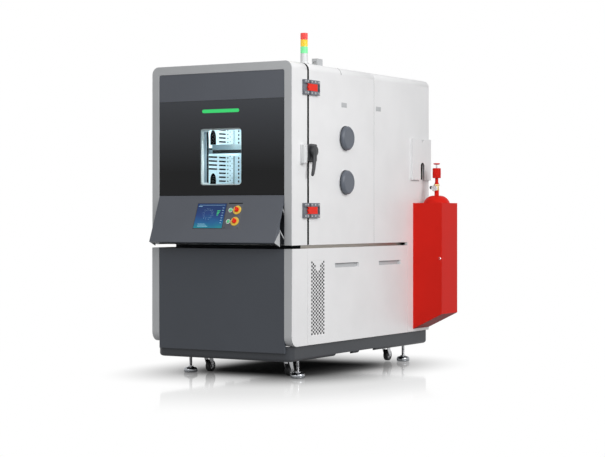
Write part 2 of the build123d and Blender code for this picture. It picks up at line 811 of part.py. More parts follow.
coil_side = 40.0
coil_w = chamber_w - 2 * coil_side
coil_d = 120.0
coil_h = 240.0
fin_pitch = 26.0
heat_r = 6.0

with BuildPart() as evaporator_heater:
    y0 = y_baffle + liner_t + 30.0
    z0 = z_c0 + 20.0
    for side in (-1, 1):
        low_x = x_mid + side * coil_w / 2 - 2.0
        block(low_x, low_x + 4.0, y0, y0 + coil_d, z_c0, z0 + coil_h)
    for step in range(int(coil_w / fin_pitch)):
        low_x = x_mid - coil_w / 2 + (step + 0.5) * fin_pitch
        block(low_x, low_x + 1.5, y0, y0 + coil_d, z0, z0 + coil_h)
    for row in range(4):
        for col in range(2):
            rod_x(
                x_mid - coil_w / 2 - 2.0, x_mid + coil_w / 2 + 2.0, y0 + 30.0 + col * 60.0,
                z0 + 30.0 + row * 60.0, 8.0,
            )
    # Heater rods between two brackets that stand on the coil's end plates
    for side in (-1, 1):
        low_x = x_mid + side * coil_w / 2 - 2.0
        block(low_x, low_x + 4.0, y0, y0 + coil_d, z0 + coil_h + 0.5, z0 + coil_h + 50.0)
    for col in range(3):
        rod_x(
            x_mid - coil_w / 2 - 2.0, x_mid + coil_w / 2 + 2.0, y0 + 20.0 + col * 40.0,
            z0 + coil_h + 30.0, heat_r,
        )
keep(evaporator_heater, "evaporator_heater")


# Refrigeration plant in the lower cabinet
comp_r = 95.0
comp_h = 290.0
comp_x = 190.0
comp_y = 480.0

with BuildPart() as compressors:
    for side in (-1, 1):
        px = x_mid + side * comp_x
        py = y_front + comp_y
        rod_z(px, py, z_floor + 20.0, z_floor + 20.0 + comp_h, comp_r)
    fillet(compressors.edges().filter_by(GeomType.CIRCLE), 40.0)
    for side in (-1, 1):
        px = x_mid + side * comp_x
        py = y_front + comp_y
        block(px - 100.0, px + 100.0, py - 60.0, py + 60.0, z_floor, z_floor + 22.0)
        rod_z(px, py, z_floor + 22.0, z_floor + 60.0, 60.0)
        rod_z(px, py, z_floor + 20.0 + comp_h - 5.0, z_floor + 20.0 + comp_h + 30.0, 10.0)
keep(compressors, "compressors")

cond_w = 760.0
cond_h = 420.0
cond_d = 90.0
cond_fan_r = 173.0
cond_y = y_rear - 40.0 - cond_d
cond_z = z_floor + 20.0
cond_row = 30.0
cond_slot = 14.0
cond_side = 20.0
cond_fan_z = cond_z + cond_h / 2
mast_y = cond_y - 95.0
mast_w = 60.0
mast_t = 6.0
fan_pin_len = 60.0
cond_motor_r = 45.0

with BuildPart() as condenser:
    x0, x1 = x_mid - cond_w / 2, x_mid + cond_w / 2
    block(x0, x1, cond_y, cond_y + cond_d, z_floor, cond_z + cond_h)
    for row in range(int(cond_h / cond_row) - 1):
        low_z = cond_z + cond_slot + row * cond_row
        block(
            x0 + cond_side, x1 - cond_side, cond_y + cond_side, cond_y + cond_d,
            low_z, low_z + cond_slot, mode=Mode.SUBTRACT,
        )
    # Mast on the deck with the fan motor in front of the core
    block(
        x_mid - mast_w / 2, x_mid + mast_w / 2, mast_y - mast_t, mast_y, z_floor, cond_fan_z + mast_w,
    )
    block(
        x_mid - mast_w / 2, x_mid + mast_w / 2, mast_y - mast_w, mast_y, z_floor, z_floor + mast_t,
    )
    rod_y(x_mid, mast_y - mast_t - fan_pin_len, mast_y - mast_t, cond_fan_z, cond_motor_r)
    rod_y(x_mid, mast_y - fan_pin_len, mast_y, cond_fan_z, shaft_r + run_gap, mode=Mode.SUBTRACT)
keep(condenser, "condenser")

cond_hub_r = 36.0
cond_hub_t = 36.0
cond_blade_w = 70.0
cond_blade_t = 4.0
cond_blades = 5

with BuildPart() as condenser_fan:
    y0 = mast_y + 16.0
    rod_y(x_mid, mast_y - fan_pin_len + 1.0, y0, cond_fan_z, shaft_r)
    rod_y(x_mid, y0, y0 + cond_hub_t, cond_fan_z, cond_hub_r)
    blade_len = cond_fan_r - cond_hub_r + 8.0
    for blade in range(cond_blades):
        with BuildSketch(
            Plane((x_mid, y0 + cond_hub_t / 2, cond_fan_z), x_dir=(1, 0, 0), z_dir=(0, -1, 0))
        ) as vane:
            with Locations(Location((0, 0, 0), 360.0 * blade / cond_blades)):
                with Locations((cond_fan_r - blade_len / 2, 0)):
                    RectangleRounded(blade_len, cond_blade_w, cond_blade_w / 4)
        extrude(vane.sketch, amount=-cond_blade_t)
keep(condenser_fan, "condenser_fan")

box_w = 205.0
box_d = 160.0
box_h = 400.0
box_in = 105.0
box_y = 900.0

with BuildPart() as control_box:
    x0, y0 = x_l + box_in, y_front + box_y
    block(x0, x0 + box_w, y0, y0 + box_d, z_floor, z_floor + box_h)
    fillet(control_box.edges().filter_by(Axis.Z), 2 * sheet)
    block(
        x0 + sheet, x0 + box_w - sheet, y0, y0 + box_d - sheet,
        z_floor + sheet, z_floor + box_h - sheet, mode=Mode.SUBTRACT,
    )
    block(
        x0 + 2 * sheet, x0 + box_w - 2 * sheet, y0 - sheet, y0,
        z_floor + 2 * sheet, z_floor + box_h - 2 * sheet,
    )
    block(
        x0, x0 + box_w, y0 - sheet, y0, z_floor, z_floor + box_h,
    )
keep(control_box, "control_box")


# Cable ports: a tube through the wall with a ring outside, and a plug that pulls out
with BuildPart() as port_flanges:
    for pz in port_zs:
        rod_x(x_cr, x_r, y_port, pz, port_r + port_tube_t)
        rod_x(x_r, x_r + port_ring_t, y_port, pz, port_ring_r)
        rod_x(x_cr, x_r + port_ring_t, y_port, pz, port_r, mode=Mode.SUBTRACT)
keep(port_flanges, "port_flanges")

for port_name, pz in zip(("port_plug_upper", "port_plug_lower"), port_zs):
    with BuildPart() as plug:
        x0 = x_r + port_ring_t
        rod_x(x0, x0 + port_cap_t, y_port, pz, port_cap_r)
        chamfer(plug.edges().group_by(Axis.X)[-1], 9.0)
        rod_x(x0 - port_nose, x0, y_port, pz, port_r - run_gap)
    keep(plug, port_name)


# Door: shell, bezel, core, dark panels, window and liner
door_split = y_front + bezel_t
y_axis = y_front + flap_nose
core_front = y_front + 12.0
recess_d = 120.0
recess_open = 84.0
recess_back = y_front + recess_d
flap_pin_r = 4.0

with BuildPart() as door_shell:
    arch(body_w / 2, z_up, z_top, corner_r, door_split, y_door)
    arch(skin_half, z_up + sheet, z_top - sheet, corner_r - sheet, door_split, y_door, mode=Mode.SUBTRACT)
    block(
        x_mid - panel_half, x_mid + panel_half, door_split, y_front + recess_open, z_up, z_up + sheet,
        mode=Mode.SUBTRACT,
    )
keep(door_shell, "door_shell")

with BuildPart() as door_bezel:
    arch(body_w / 2, z_up, z_top, corner_r, y_front, door_split)
    arch(panel_half, z_up, z_top - bezel_w, 12.0, y_front, door_split, mode=Mode.SUBTRACT)
    fillet(door_bezel.faces().sort_by(Axis.Y)[0].edges(), 2.5)
    for side in (-1, 1):
        root = x_mid + side * panel_half
        tip = root - side * 9.0
        rod_x(min(root, tip), max(root, tip), y_axis, z_axis, flap_pin_r)
keep(door_bezel, "door_bezel")

lip_w = win_w - 2 * pane_lip
lip_h = win_h - 2 * pane_lip
wide_w = win_w + 2 * tunnel_flare
wide_h = win_h + 2 * tunnel_flare
y_step = core_front + tunnel_front

with BuildPart() as door_core:
    arch(skin_half, z_up + sheet, z_top - sheet, corner_r - sheet, door_split, y_door - sheet)
    block(
        x_mid - panel_half + 1.0, x_mid + panel_half - 1.0, core_front, door_split,
        z_glass, z_top - bezel_w - 13.0,
    )
    block(
        x_mid - panel_half, x_mid + panel_half, door_split, recess_back, z_up + sheet, z_glass,
        mode=Mode.SUBTRACT,
    )
    window(win_w + 2 * tunnel_t, win_h + 2 * tunnel_t, win_r, core_front, y_step, mode=Mode.SUBTRACT)
    window(
        wide_w + 2 * tunnel_t, wide_h + 2 * tunnel_t, win_r, y_step, y_door - sheet, mode=Mode.SUBTRACT,
    )
keep(door_core, "door_core")

with BuildPart() as door_liner:
    arch(skin_half, z_up + sheet, z_top - sheet, corner_r - sheet, y_door - sheet, y_door)
    window(wide_w + 2 * tunnel_t, wide_h + 2 * tunnel_t, win_r, y_step, y_door)
    window(win_w + 2 * tunnel_t, win_h + 2 * tunnel_t, win_r, core_front, y_step)
    window(lip_w, lip_h, win_r - pane_lip, core_front, y_step, mode=Mode.SUBTRACT)
    window(wide_w, wide_h, win_r, y_step + tunnel_t, y_door, mode=Mode.SUBTRACT)
    window(lip_w, lip_h, win_r - pane_lip, y_step, y_step + tunnel_t, mode=Mode.SUBTRACT)
keep(door_liner, "door_liner")

with BuildPart() as header_panel:
    arch(panel_half - 0.5, z_header, z_top - bezel_w - 0.5, 11.5, y_front + 3.0, core_front)
    fillet(header_panel.faces().sort_by(Axis.Y)[0].edges(), 1.0)
keep(header_panel, "header_panel")

led_w = 268.0
led_h = 22.0
led_drop = 65.0
led_z = z_header - led_drop


def led_slot(w, h, y0, y1, mode=Mode.ADD):
    """A prism with round ends for the light bar or its slot."""
    with BuildSketch(Plane((x_mid, y0, led_z), x_dir=(1, 0, 0), z_dir=(0, -1, 0))) as outline:
        SlotOverall(w, h)
    extrude(outline.sketch, amount=y0 - y1, mode=mode)


with BuildPart() as glass_panel:
    half = panel_half - 0.5
    block(x_mid - half, x_mid + half, core_front - glass_t, core_front, z_glass, z_header - 1.0)
    window(win_w, win_h, win_r, core_front - glass_t, core_front, mode=Mode.SUBTRACT)
    led_slot(led_w, led_h, core_front - glass_t, core_front, mode=Mode.SUBTRACT)
keep(glass_panel, "glass_panel")

with BuildPart() as led_bar:
    led_slot(led_w - 2 * fit_gap, led_h - 2 * fit_gap, core_front - glass_t - 0.5, core_front)
keep(led_bar, "led_bar")

with BuildPart() as window_glass:
    gap2 = 2 * fit_gap
    window(win_w - gap2, win_h - gap2, win_r - fit_gap, core_front - glass_t, core_front)
    window(wide_w - gap2, wide_h - gap2, win_r - fit_gap, y_step + tunnel_t, y_step + tunnel_t + glass_t)
keep(window_glass, "window_glass")

seal_w = 18.0
seal_t = seam_gap - fit_gap
seal_in = 26.0

with BuildPart() as door_gasket:
    y1 = y_door + seal_t
    arch(skin_half - 2.0, z_up + 5.0, z_top - 5.0, corner_r - 5.0, y_door, y1)
    arch(
        skin_half - 2.0 - seal_w, z_up + 5.0 + seal_w, z_top - 5.0 - seal_w, corner_r - 5.0 - seal_w,
        y_door, y1, mode=Mode.SUBTRACT,
    )
    block(x_duct - seal_in, x_cr + seal_in, y_door, y1, z_c0 - seal_in, z_c1 + seal_in)
    block(
        x_duct - seal_in + seal_w, x_cr + seal_in - seal_w, y_door, y1,
        z_c0 - seal_in + seal_w, z_c1 + seal_in - seal_w, mode=Mode.SUBTRACT,
    )
keep(door_gasket, "door_gasket")


# Hinges on the left side: three pairs of leaves on one vertical axis
hinge_h = 90.0
leaf_t = 4.0
leaf_len = 50.0
hinge_pin_r = 5.0
knuckle = hinge_h / 3
leaf_gap = 5.0
hinge_x = x_l - hinge_off
hinge_zs = (z_up + 140.0, z_mid, z_top - 150.0)

with BuildPart() as hinge_bases:
    for hz in hinge_zs:
        low = hz - knuckle / 2 + fit_gap
        high = hz + knuckle / 2 - fit_gap
        y0 = y_body + leaf_gap
        block(x_l - leaf_t, x_l, y0, y0 + leaf_len, hz - hinge_h / 2, hz + hinge_h / 2)
        block(x_l - leaf_t, x_l - 1.0, y_seam, y0, low, high)
        rod_z(hinge_x, y_seam, low, high, hinge_r)
        rod_z(hinge_x, y_seam, hz - hinge_h / 2, hz + hinge_h / 2, hinge_pin_r)
keep(hinge_bases, "hinge_bases")

with BuildPart() as hinge_leaves:
    for hz in hinge_zs:
        y1 = y_door - leaf_gap
        block(x_l - leaf_t, x_l, y1 - leaf_len, y1, hz - hinge_h / 2, hz + hinge_h / 2)
        for low in (hz - hinge_h / 2, hz + knuckle / 2):
            block(x_l - leaf_t, x_l - 1.0, y1, y_seam, low, low + knuckle)
            rod_z(hinge_x, y_seam, low, low + knuckle, hinge_r)
        rod_z(
            hinge_x, y_seam, hz - hinge_h / 2, hz + hinge_h / 2, hinge_pin_r + run_gap,
            mode=Mode.SUBTRACT,
        )
keep(hinge_leaves, "hinge_leaves")


# Latch: keeper on the door, base and lever on the body, and two safety bolts
latch_rise = 30.0
lever_back = 188.0
latch_z = z_mid + latch_rise
lever_y = y_front + lever_back
keeper_t = 32.0
keeper_w = 35.0
keeper_h = 118.0
keeper_back = 48.0
keeper_drop = 20.0
keeper_round = 6.0
keeper_gap = 1.0
keeper_z = latch_z - keeper_drop
base_t = 30.0
latch_foot_in = 14.0
latch_foot_w = 46.0
latch_up = 44.0
latch_down = 64.0
nose_lift = 10.0
nose_in = 4.0
lever_t = 26.0
lever_len = 154.0
lever_hub_r = 34.0
lever_pin_r = 9.0
lever_pin_out = 2.0
bolt_slot_z = 11.0
bolt_slot_h = 8.0
bolt_slot_d = 9.0
bolt_catch = 14.0
bolt_zs = (z_top - bolt_inset, z_up + bolt_low)
guide_gap = 0.5
plate_off = 3.0
plate_seat = 2.0


def bolt_plate(y0, y1, bz):
    """A plate on the side wall with a guide bar above and below the bolt's way."""
    block(x_r, x_r + plate_t, y0, y1, bz - plate_h / 2, bz + plate_h / 2)
    for side in (-1, 1):
        inner = bz + side * (bolt_h / 2 + guide_gap)
        outer = bz + side * plate_h / 2
        low = min(inner, outer)
        block(x_r + plate_t + fit_gap, x_r + plate_t + bolt_t, y0, y1, low, max(inner, outer))


with BuildPart() as door_keepers:
    y1 = y_door - keeper_back
    low = keeper_z - keeper_h / 2
    block(x_r, x_r + keeper_t, y1 - keeper_w, y1, low, low + keeper_h)
    fillet(door_keepers.edges().group_by(Axis.X)[-1], keeper_round)
    y1 = y_door - plate_off
    for bz in bolt_zs:
        bolt_plate(y1 - plate_door, y1, bz)
keep(door_keepers, "door_keepers")

# The latch's foot stands on the body, and its nose reaches over the seam to the keeper
with BuildPart() as latch_bases:
    foot_y0 = y_body + latch_foot_in
    nose_y0 = y_door - keeper_back + keeper_gap
    low = latch_z - latch_down
    high = latch_z + latch_up
    block(x_r, x_r + base_t, foot_y0, foot_y0 + latch_foot_w, low, high)
    block(x_r + nose_lift, x_r + base_t, nose_y0, foot_y0 - fit_gap, low + nose_in, high - nose_in)
    rod_x(x_r + base_t, x_r + base_t + lever_t + lever_pin_out, lever_y, latch_z, lever_pin_r)
    y0 = y_body + plate_seat
    for bz in bolt_zs:
        bolt_plate(y0, y0 + plate_body, bz)
keep(latch_bases, "latch_bases")

with BuildPart() as latch_lever:
    x0 = x_r + base_t + fit_gap
    rod_x(x0, x0 + lever_t, lever_y, latch_z, lever_hub_r)
    with BuildSketch(Plane((x0 + 4.0, lever_y, latch_z), x_dir=(0, 1, 0), z_dir=(1, 0, 0))):
        with BuildLine():
            Line((-26.0, -10.0), (26.0, -10.0))
            Line((26.0, -10.0), (-12.0, -lever_len + 10.0))
            ThreePointArc((-12.0, -lever_len + 10.0), (-22.0, -lever_len), (-32.0, -lever_len + 10.0))
            Line((-32.0, -lever_len + 10.0), (-26.0, -10.0))
        make_face()
    extrude(amount=lever_t - 4.0)
    fillet(latch_lever.faces().sort_by(Axis.X)[-1].edges(), 3.0)
    rod_x(x0, x0 + lever_t, lever_y, latch_z, lever_pin_r + run_gap, mode=Mode.SUBTRACT)
keep(latch_lever, "latch_lever")

for bolt_name, bz in zip(("safety_bolt_upper", "safety_bolt_lower"), bolt_zs):
    with BuildPart() as bolt:
        x0 = x_r + plate_t + fit_gap
        x1 = x_r + plate_t + bolt_t
        y0 = y_door - plate_off - bolt_catch
        block(x0, x1, y0, y0 + bolt_len, bz - bolt_h / 2, bz + bolt_h / 2)
        for side in (-1, 1):
            low_z = bz + side * bolt_slot_z - bolt_slot_h / 2
            block(x0, x1, y0, y0 + bolt_slot_d, low_z, low_z + bolt_slot_h, mode=Mode.SUBTRACT)
    keep(bolt, bolt_name)


# Console flap and what it carries; u runs down the flap from its axis, n points out of it
flap_plane = Plane(
    (x_mid, y_axis, z_axis),
    x_dir=(1, 0, 0),
    z_dir=(0, -math.cos(tilt), math.sin(tilt)),
)
flap_half = panel_half - 2.0
knob_us = (85.0, 158.0)
knob_x = 143.0
button_x = 96.0
knob_shaft_r = 4.0
button_r = 11.0
screen_w = 208.0
screen_h = 160.0
screen_x = -44.0
screen_u = 122.0
screen_t = 6.0
cheek_u = 165.0
cheek_d = 51.0


def flap_plate(x0, x1, u0, u1, n0, n1, mode=Mode.ADD):
    """A block in the flap's own directions."""
    with BuildSketch(flap_plane.offset(n0)) as outline:
        with Locations(((x0 + x1) / 2, -(u0 + u1) / 2)):
            Rectangle(x1 - x0, u1 - u0)
    extrude(outline.sketch, amount=n1 - n0, mode=mode)


def flap_disc(x, u, n0, n1, r, mode=Mode.ADD):
    """A round bar or hole along the flap's normal."""
    with BuildSketch(flap_plane.offset(n0)) as outline:
        with Locations((x, -u)):
            Circle(r)
    extrude(outline.sketch, amount=n1 - n0, mode=mode)


def flap_yz(u, n):
    """The (y, z) place of a point given along and across the flap."""
    return (
        y_axis - n * math.cos(tilt) - u * math.sin(tilt),
        z_axis - u * math.cos(tilt) + n * math.sin(tilt),
    )


with BuildPart() as console_flap:
    back = flap_nose - flap_fold
    flap_plate(-flap_half, flap_half, -flap_top, flap_len, back, flap_nose)
    flap_plate(
        -flap_half + sheet, flap_half - sheet, -flap_top, flap_len - sheet,
        back, flap_nose - sheet, mode=Mode.SUBTRACT,
    )
    for side in (-1, 1):
        outer = x_mid + side * flap_half
        inner = outer - side * sheet
        x0, x1 = min(outer, inner), max(outer, inner)
        # Cheek that widens towards the lower edge, and two stays that run into the door
        side_profile(
            [flap_yz(cheek_u, back), flap_yz(flap_len, back), flap_yz(flap_len, back - cheek_d)],
            x0, x1,
        )
        for u0, n0, u1, n1 in ((66.0, -4.0, 108.0, -55.0), (190.0, -4.0, 237.0, -105.0)):
            side_profile(
                [flap_yz(u0, n0), flap_yz(u0 + 9.0, n0), flap_yz(u1 + 5.0, n1), flap_yz(u1 - 3.0, n1)],
                x0, x1,
            )
        rod_x(x0, x1, y_axis, z_axis, flap_pin_r + run_gap, mode=Mode.SUBTRACT)
    flap_plate(
        screen_x - screen_w / 2, screen_x + screen_w / 2, screen_u - screen_h / 2,
        screen_u + screen_h / 2, flap_nose - sheet, flap_nose, mode=Mode.SUBTRACT,
    )
    for u in knob_us:
        flap_disc(knob_x, u, flap_nose - sheet, flap_nose, knob_shaft_r + run_gap, mode=Mode.SUBTRACT)
        flap_disc(button_x, u, flap_nose - sheet, flap_nose, button_r + run_gap, mode=Mode.SUBTRACT)
    # Yellow collar plates under the switch knobs
    for u in knob_us:
        flap_disc(knob_x, u, flap_nose, flap_nose + 4.0, 28.0)
        flap_disc(knob_x, u, flap_nose, flap_nose + 4.0, knob_shaft_r + run_gap, mode=Mode.SUBTRACT)
keep(console_flap, "console_flap")

with BuildPart() as touch_screen:
    flap_plate(
        screen_x - screen_w / 2 + fit_gap, screen_x + screen_w / 2 - fit_gap,
        screen_u - screen_h / 2 + fit_gap, screen_u + screen_h / 2 - fit_gap,
        flap_nose - sheet, flap_nose + 1.0,
    )
    flap_plate(
        screen_x - screen_w / 2 - 6.0, screen_x + screen_w / 2 + 6.0,
        screen_u - screen_h / 2 - 6.0, screen_u + screen_h / 2 + 6.0,
        flap_nose - sheet - screen_t, flap_nose - sheet,
    )
keep(touch_screen, "touch_screen")

for knob_name, u in zip(("switch_knob_upper", "switch_knob_lower"), knob_us):
    with BuildPart() as knob:
        n0 = flap_nose + 4.0
        flap_disc(knob_x, u, flap_nose - sheet - 4.0, n0, knob_shaft_r)
        flap_disc(knob_x, u, flap_nose - sheet - 4.0, flap_nose - sheet - 0.5, knob_shaft_r + 5.0)
        flap_disc(knob_x, u, n0, n0 + 8.0, 20.0)
        flap_plate(knob_x - 6.0, knob_x + 6.0, u - 20.0, u + 20.0, n0 + 8.0, n0 + 20.0)
    keep(knob, knob_name)

button_travel = 3.0
for button_name, u in zip(("button_upper", "button_lower"), knob_us):
    with BuildPart() as button:
        flap_disc(button_x, u, flap_nose - sheet - 6.0, flap_nose + 5.0, button_r)
        flap_disc(button_x, u, flap_nose - sheet - 6.0 - 4.0, flap_nose - sheet - 0.5, button_r + 3.0)
    keep(button, button_name)


# Stack light on the roof: foot, base tube and three lens modules
stack_in = 64.0
stack_x = x_r - stack_in
stack_back = 250.0
stack_y = y_front + stack_back
stack_r = 23.0
foot_t = 8.0
base_h = 62.0
lens_h = 41.2

with BuildPart() as stack_light:
    rod_z(stack_x, stack_y, z_top, z_top + foot_t, stack_r + 6.0)
    rod_z(stack_x, stack_y, z_top + foot_t, z_top + base_h, stack_r)
    for module in range(3):
        z0 = z_top + base_h + module * lens_h
        rod_z(stack_x, stack_y, z0 + 0.5, z0 + lens_h, stack_r)
keep(stack_light, "stack_light")

vent_in = 79.0
vent_x = x_r - vent_in
vent_back = 436.0
with BuildPart() as relief_vent:
    y0 = y_front + vent_back
    block(vent_x - 42.0, vent_x, y0, y0 + 64.0, z_top, z_top + 48.0)
    fillet(relief_vent.edges().filter_by(Axis.Z), 3.0)
    block(vent_x - 32.0, vent_x - 10.0, y0 - 1.0, y0 + 8.0, z_top + 14.0, z_top + 30.0, mode=Mode.SUBTRACT)
keep(relief_vent, "relief_vent")


# Hood over the pipe entry, high on the rear column
hood_y0 = 1525.0
hood_slot_y = 1673.0
hood_z0 = 1223.0
hood_z1 = 1499.0
hood_out = 18.0
arch_w = 55.0
arch_h = 117.0
notch_w = 44.0
notch_d = 24.0
bin_mid_y = y_front + bin_y0 + bin_d / 2

with BuildPart() as pipe_hood:
    y1 = y_rear - 1.0
    block(x_r, x_r + hood_out, y_front + hood_y0, y1, hood_z0, hood_z1)
    block(
        x_r, x_r + hood_out - sheet, y_front + hood_y0 + sheet, y1 - sheet, hood_z0, hood_z1,
        mode=Mode.SUBTRACT,
    )
    slot_plane = Plane((x_r, y_front + hood_slot_y, 0), x_dir=(0, 1, 0), z_dir=(1, 0, 0))
    with BuildSketch(slot_plane):
        with Locations((0, hood_z0)):
            SlotOverall(2 * arch_h, arch_w, rotation=90)
        with BuildLine():
            Polyline(
                (-notch_w / 2, hood_z1), (0, hood_z1 - notch_d), (notch_w / 2, hood_z1), close=True,
            )
        make_face()
    extrude(amount=hood_out, mode=Mode.SUBTRACT)
keep(pipe_hood, "pipe_hood")


# Extinguisher in its open-topped bin
bin_z0 = 226.0
bin_z1 = 331.0
bin_top = 1068.0
ext_r = 88.0
ext_x = x_r + 118.0
ext_y = bin_mid_y
ext_z0 = bin_z1 + 18.0
ext_wall = 5.0
dome_h = 50.0
neck_r = 15.0
neck_top = 1152.0
valve_top = 1195.0
act_z0 = 1235.0
act_z1 = 1302.0
act_r = 28.0
knob_z = 1325.0
knob_t = 10.0
press = 8.0

with BuildPart() as extinguisher_bin:
    y0 = y_front + bin_y0
    with BuildSketch(Plane((0, y0, 0), x_dir=(1, 0, 0), z_dir=(0, -1, 0))) as tray:
        with BuildLine():
            Polyline(
                (x_r, bin_z0), (x_r + bin_out, bin_z1), (x_r + bin_out, bin_top), (x_r, bin_top),
                close=True,
            )
        make_face()
    extrude(tray.sketch, amount=-bin_d)
    with BuildSketch(Plane((0, y0 + sheet, 0), x_dir=(1, 0, 0), z_dir=(0, -1, 0))) as hollow:
        with BuildLine():
            Polyline(
                (x_r + sheet, bin_z0 + 2 * sheet), (x_r + bin_out - sheet, bin_z1 + sheet),
                (x_r + bin_out - sheet, bin_top), (x_r + sheet, bin_top),
                close=True,
            )
        make_face()
    extrude(hollow.sketch, amount=2 * sheet - bin_d, mode=Mode.SUBTRACT)
    block(
        x_r + sheet, x_r + bin_out - sheet, y0 + sheet, y0 + bin_d - sheet, ext_z0 - sheet, ext_z0,
    )
    rod_y(x_r + bin_out - 14.0, y0 - 6.0, y0, (bin_z1 + bin_top) / 2, 6.0)
keep(extinguisher_bin, "extinguisher_bin")

with BuildPart() as extinguisher:
    with BuildSketch(Plane((ext_x, ext_y, 0), x_dir=(1, 0, 0), z_dir=(0, -1, 0))):
        with BuildLine():
            Line((0, ext_z0), (ext_r - 10.0, ext_z0))
            Line((ext_r - 10.0, ext_z0), (ext_r, ext_z0 + 10.0))
            Line((ext_r, ext_z0 + 10.0), (ext_r, bin_top))
            ThreePointArc(
                (ext_r, bin_top),
                (ext_r * 0.76, bin_top + dome_h * 0.66),
                (neck_r, bin_top + dome_h),
            )
            Line((neck_r, bin_top + dome_h), (neck_r, neck_top))
            Line((neck_r, neck_top), (0, neck_top))
            Line((0, neck_top), (0, ext_z0))
        make_face()
    revolve(axis=Axis((ext_x, ext_y, 0), (0, 0, 1)))
    rod_z(ext_x, ext_y, ext_z0 + ext_wall, bin_top - ext_wall, ext_r - ext_wall, mode=Mode.SUBTRACT)
keep(extinguisher, "extinguisher")

with BuildPart() as cylinder_valve:
    rod_z(ext_x, ext_y, neck_top, valve_top, 17.0)
    rod_x(ext_x - 48.0, ext_x, ext_y, neck_top + 20.0, 9.0)
    rod_y(ext_x, ext_y - 30.0, ext_y, neck_top + 14.0, 7.0)
    rod_y(ext_x, ext_y - 42.0, ext_y - 28.0, neck_top + 14.0, 20.0)
    rod_z(ext_x, ext_y, valve_top, act_z0, 11.0)
    rod_z(ext_x, ext_y, act_z0, act_z1, act_r)
    rod_z(ext_x, ext_y, act_z1 - 24.0, act_z1, 6.0 + run_gap, mode=Mode.SUBTRACT)
keep(cylinder_valve, "cylinder_valve")

with BuildPart() as release_knob:
    rod_z(ext_x, ext_y, act_z1 - 24.0 + press + 1.0, knob_z, 6.0)
    rod_z(ext_x, ext_y, knob_z, knob_z + knob_t, 22.0)
    fillet(release_knob.edges().group_by(Axis.Z)[-1], 3.0)
keep(release_knob, "release_knob")
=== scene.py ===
# %% [markdown]
# # Dressing an environmental test chamber
#
# The solids of this machine come from a CAD model: cabinet, door, console, latch, ports, plant.
# Here they get the finishes that a workshop gives them (powder coat, brushed steel, moulded
# plastic), and the small parts that a CAD model leaves plain are modelled over its solids.
# Everything sits in one shared frame: metres, +Z up, the door looks towards -Y.

# %% Load the frame
import json
import math

import bmesh
import bpy
from mathutils import Matrix, Vector


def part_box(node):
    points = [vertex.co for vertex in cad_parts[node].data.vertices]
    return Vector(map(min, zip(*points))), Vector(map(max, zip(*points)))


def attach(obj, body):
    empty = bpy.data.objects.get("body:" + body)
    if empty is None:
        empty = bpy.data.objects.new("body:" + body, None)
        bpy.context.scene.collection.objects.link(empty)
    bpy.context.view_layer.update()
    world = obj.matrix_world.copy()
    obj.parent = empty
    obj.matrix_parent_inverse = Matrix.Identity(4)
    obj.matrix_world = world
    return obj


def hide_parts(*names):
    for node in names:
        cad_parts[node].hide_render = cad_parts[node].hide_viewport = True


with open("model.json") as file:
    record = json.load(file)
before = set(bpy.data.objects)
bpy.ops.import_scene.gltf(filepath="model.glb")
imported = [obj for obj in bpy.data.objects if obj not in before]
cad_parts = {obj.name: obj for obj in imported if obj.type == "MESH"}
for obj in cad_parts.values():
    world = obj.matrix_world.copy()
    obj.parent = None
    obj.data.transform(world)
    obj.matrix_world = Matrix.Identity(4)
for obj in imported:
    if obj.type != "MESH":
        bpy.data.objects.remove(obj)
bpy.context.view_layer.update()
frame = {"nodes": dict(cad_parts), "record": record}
nodes = frame["nodes"]
scene = bpy.context.scene

# %% [markdown]
# ## Places to build from
#
# Small parts are drawn in millimetres, the way a fitter would measure them: on the side wall
# "so far behind the front, so far above the floor, so far out", and on the console "across,
# down, out". Each such set of axes is one 4x4 matrix. The alternative, typing world
# coordinates for every part, hides the measures and makes a tilted console very hard to dress.

# %% Local axes
MM = 0.001
BODY_HALF, BODY_HIGH, BODY_DEEP = 505, 1900, 1800
CORNER = 46
FLAP_BACK, FLAP_HIGH, FLAP_TILT = 10, 1092, 21.7
bezel_lo, bezel_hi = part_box("door_bezel")
MID_X = (bezel_lo.x + bezel_hi.x) / 2
FRONT_Y = bezel_lo.y
RIGHT_X = bezel_hi.x
LEFT_X = bezel_lo.x
TILT = math.radians(FLAP_TILT)
FLAP_AXIS = (MID_X, FRONT_Y + FLAP_BACK * MM, FLAP_HIGH * MM)


def axes(origin, u, v, w):
    """Axes in millimetres: local x, y, z run along u, v, w from the origin."""
    return Matrix.Translation(origin) @ (Matrix((u, v, w)).transposed() * MM).to_4x4()


SIDE = axes((RIGHT_X, FRONT_Y, 0), (0, 1, 0), (0, 0, 1), (1, 0, 0))
LEFT = axes((LEFT_X, FRONT_Y, 0), (0, -1, 0), (0, 0, 1), (-1, 0, 0))
FRONT = axes((MID_X, FRONT_Y, 0), (1, 0, 0), (0, 0, 1), (0, -1, 0))
REAR = axes((MID_X, FRONT_Y + BODY_DEEP * MM, 0), (-1, 0, 0), (0, 0, 1), (0, 1, 0))
UP = axes((MID_X, FRONT_Y, 0), (1, 0, 0), (0, 1, 0), (0, 0, 1))
FLAP = axes(
    FLAP_AXIS, (1, 0, 0), (0, math.sin(TILT), math.cos(TILT)),
    (0, -math.cos(TILT), math.sin(TILT)),
)
print("front plane at y =", round(FRONT_Y, 4), "and right wall at x =", round(RIGHT_X, 4))

# %% [markdown]
# ## Mesh tools
#
# Nearly every part here is a folded, milled, moulded or turned shape. A slab with rounded
# edges, an outline spun round an axis and a flat outline given a thickness cover most of
# them. Rounded edges matter most: a real edge always catches a thin line of light, and a
# razor-sharp one looks like a computer model.


# %% Slab, turning, plate
def round_edges(bm, edges, width, steps=2):
    """Round the given edges by one width."""
    bmesh.ops.bevel(
        bm, geom=edges, offset=width, offset_type="OFFSET", segments=steps, profile=0.5,
        affect="EDGES", material=-1, clamp_overlap=True,
    )


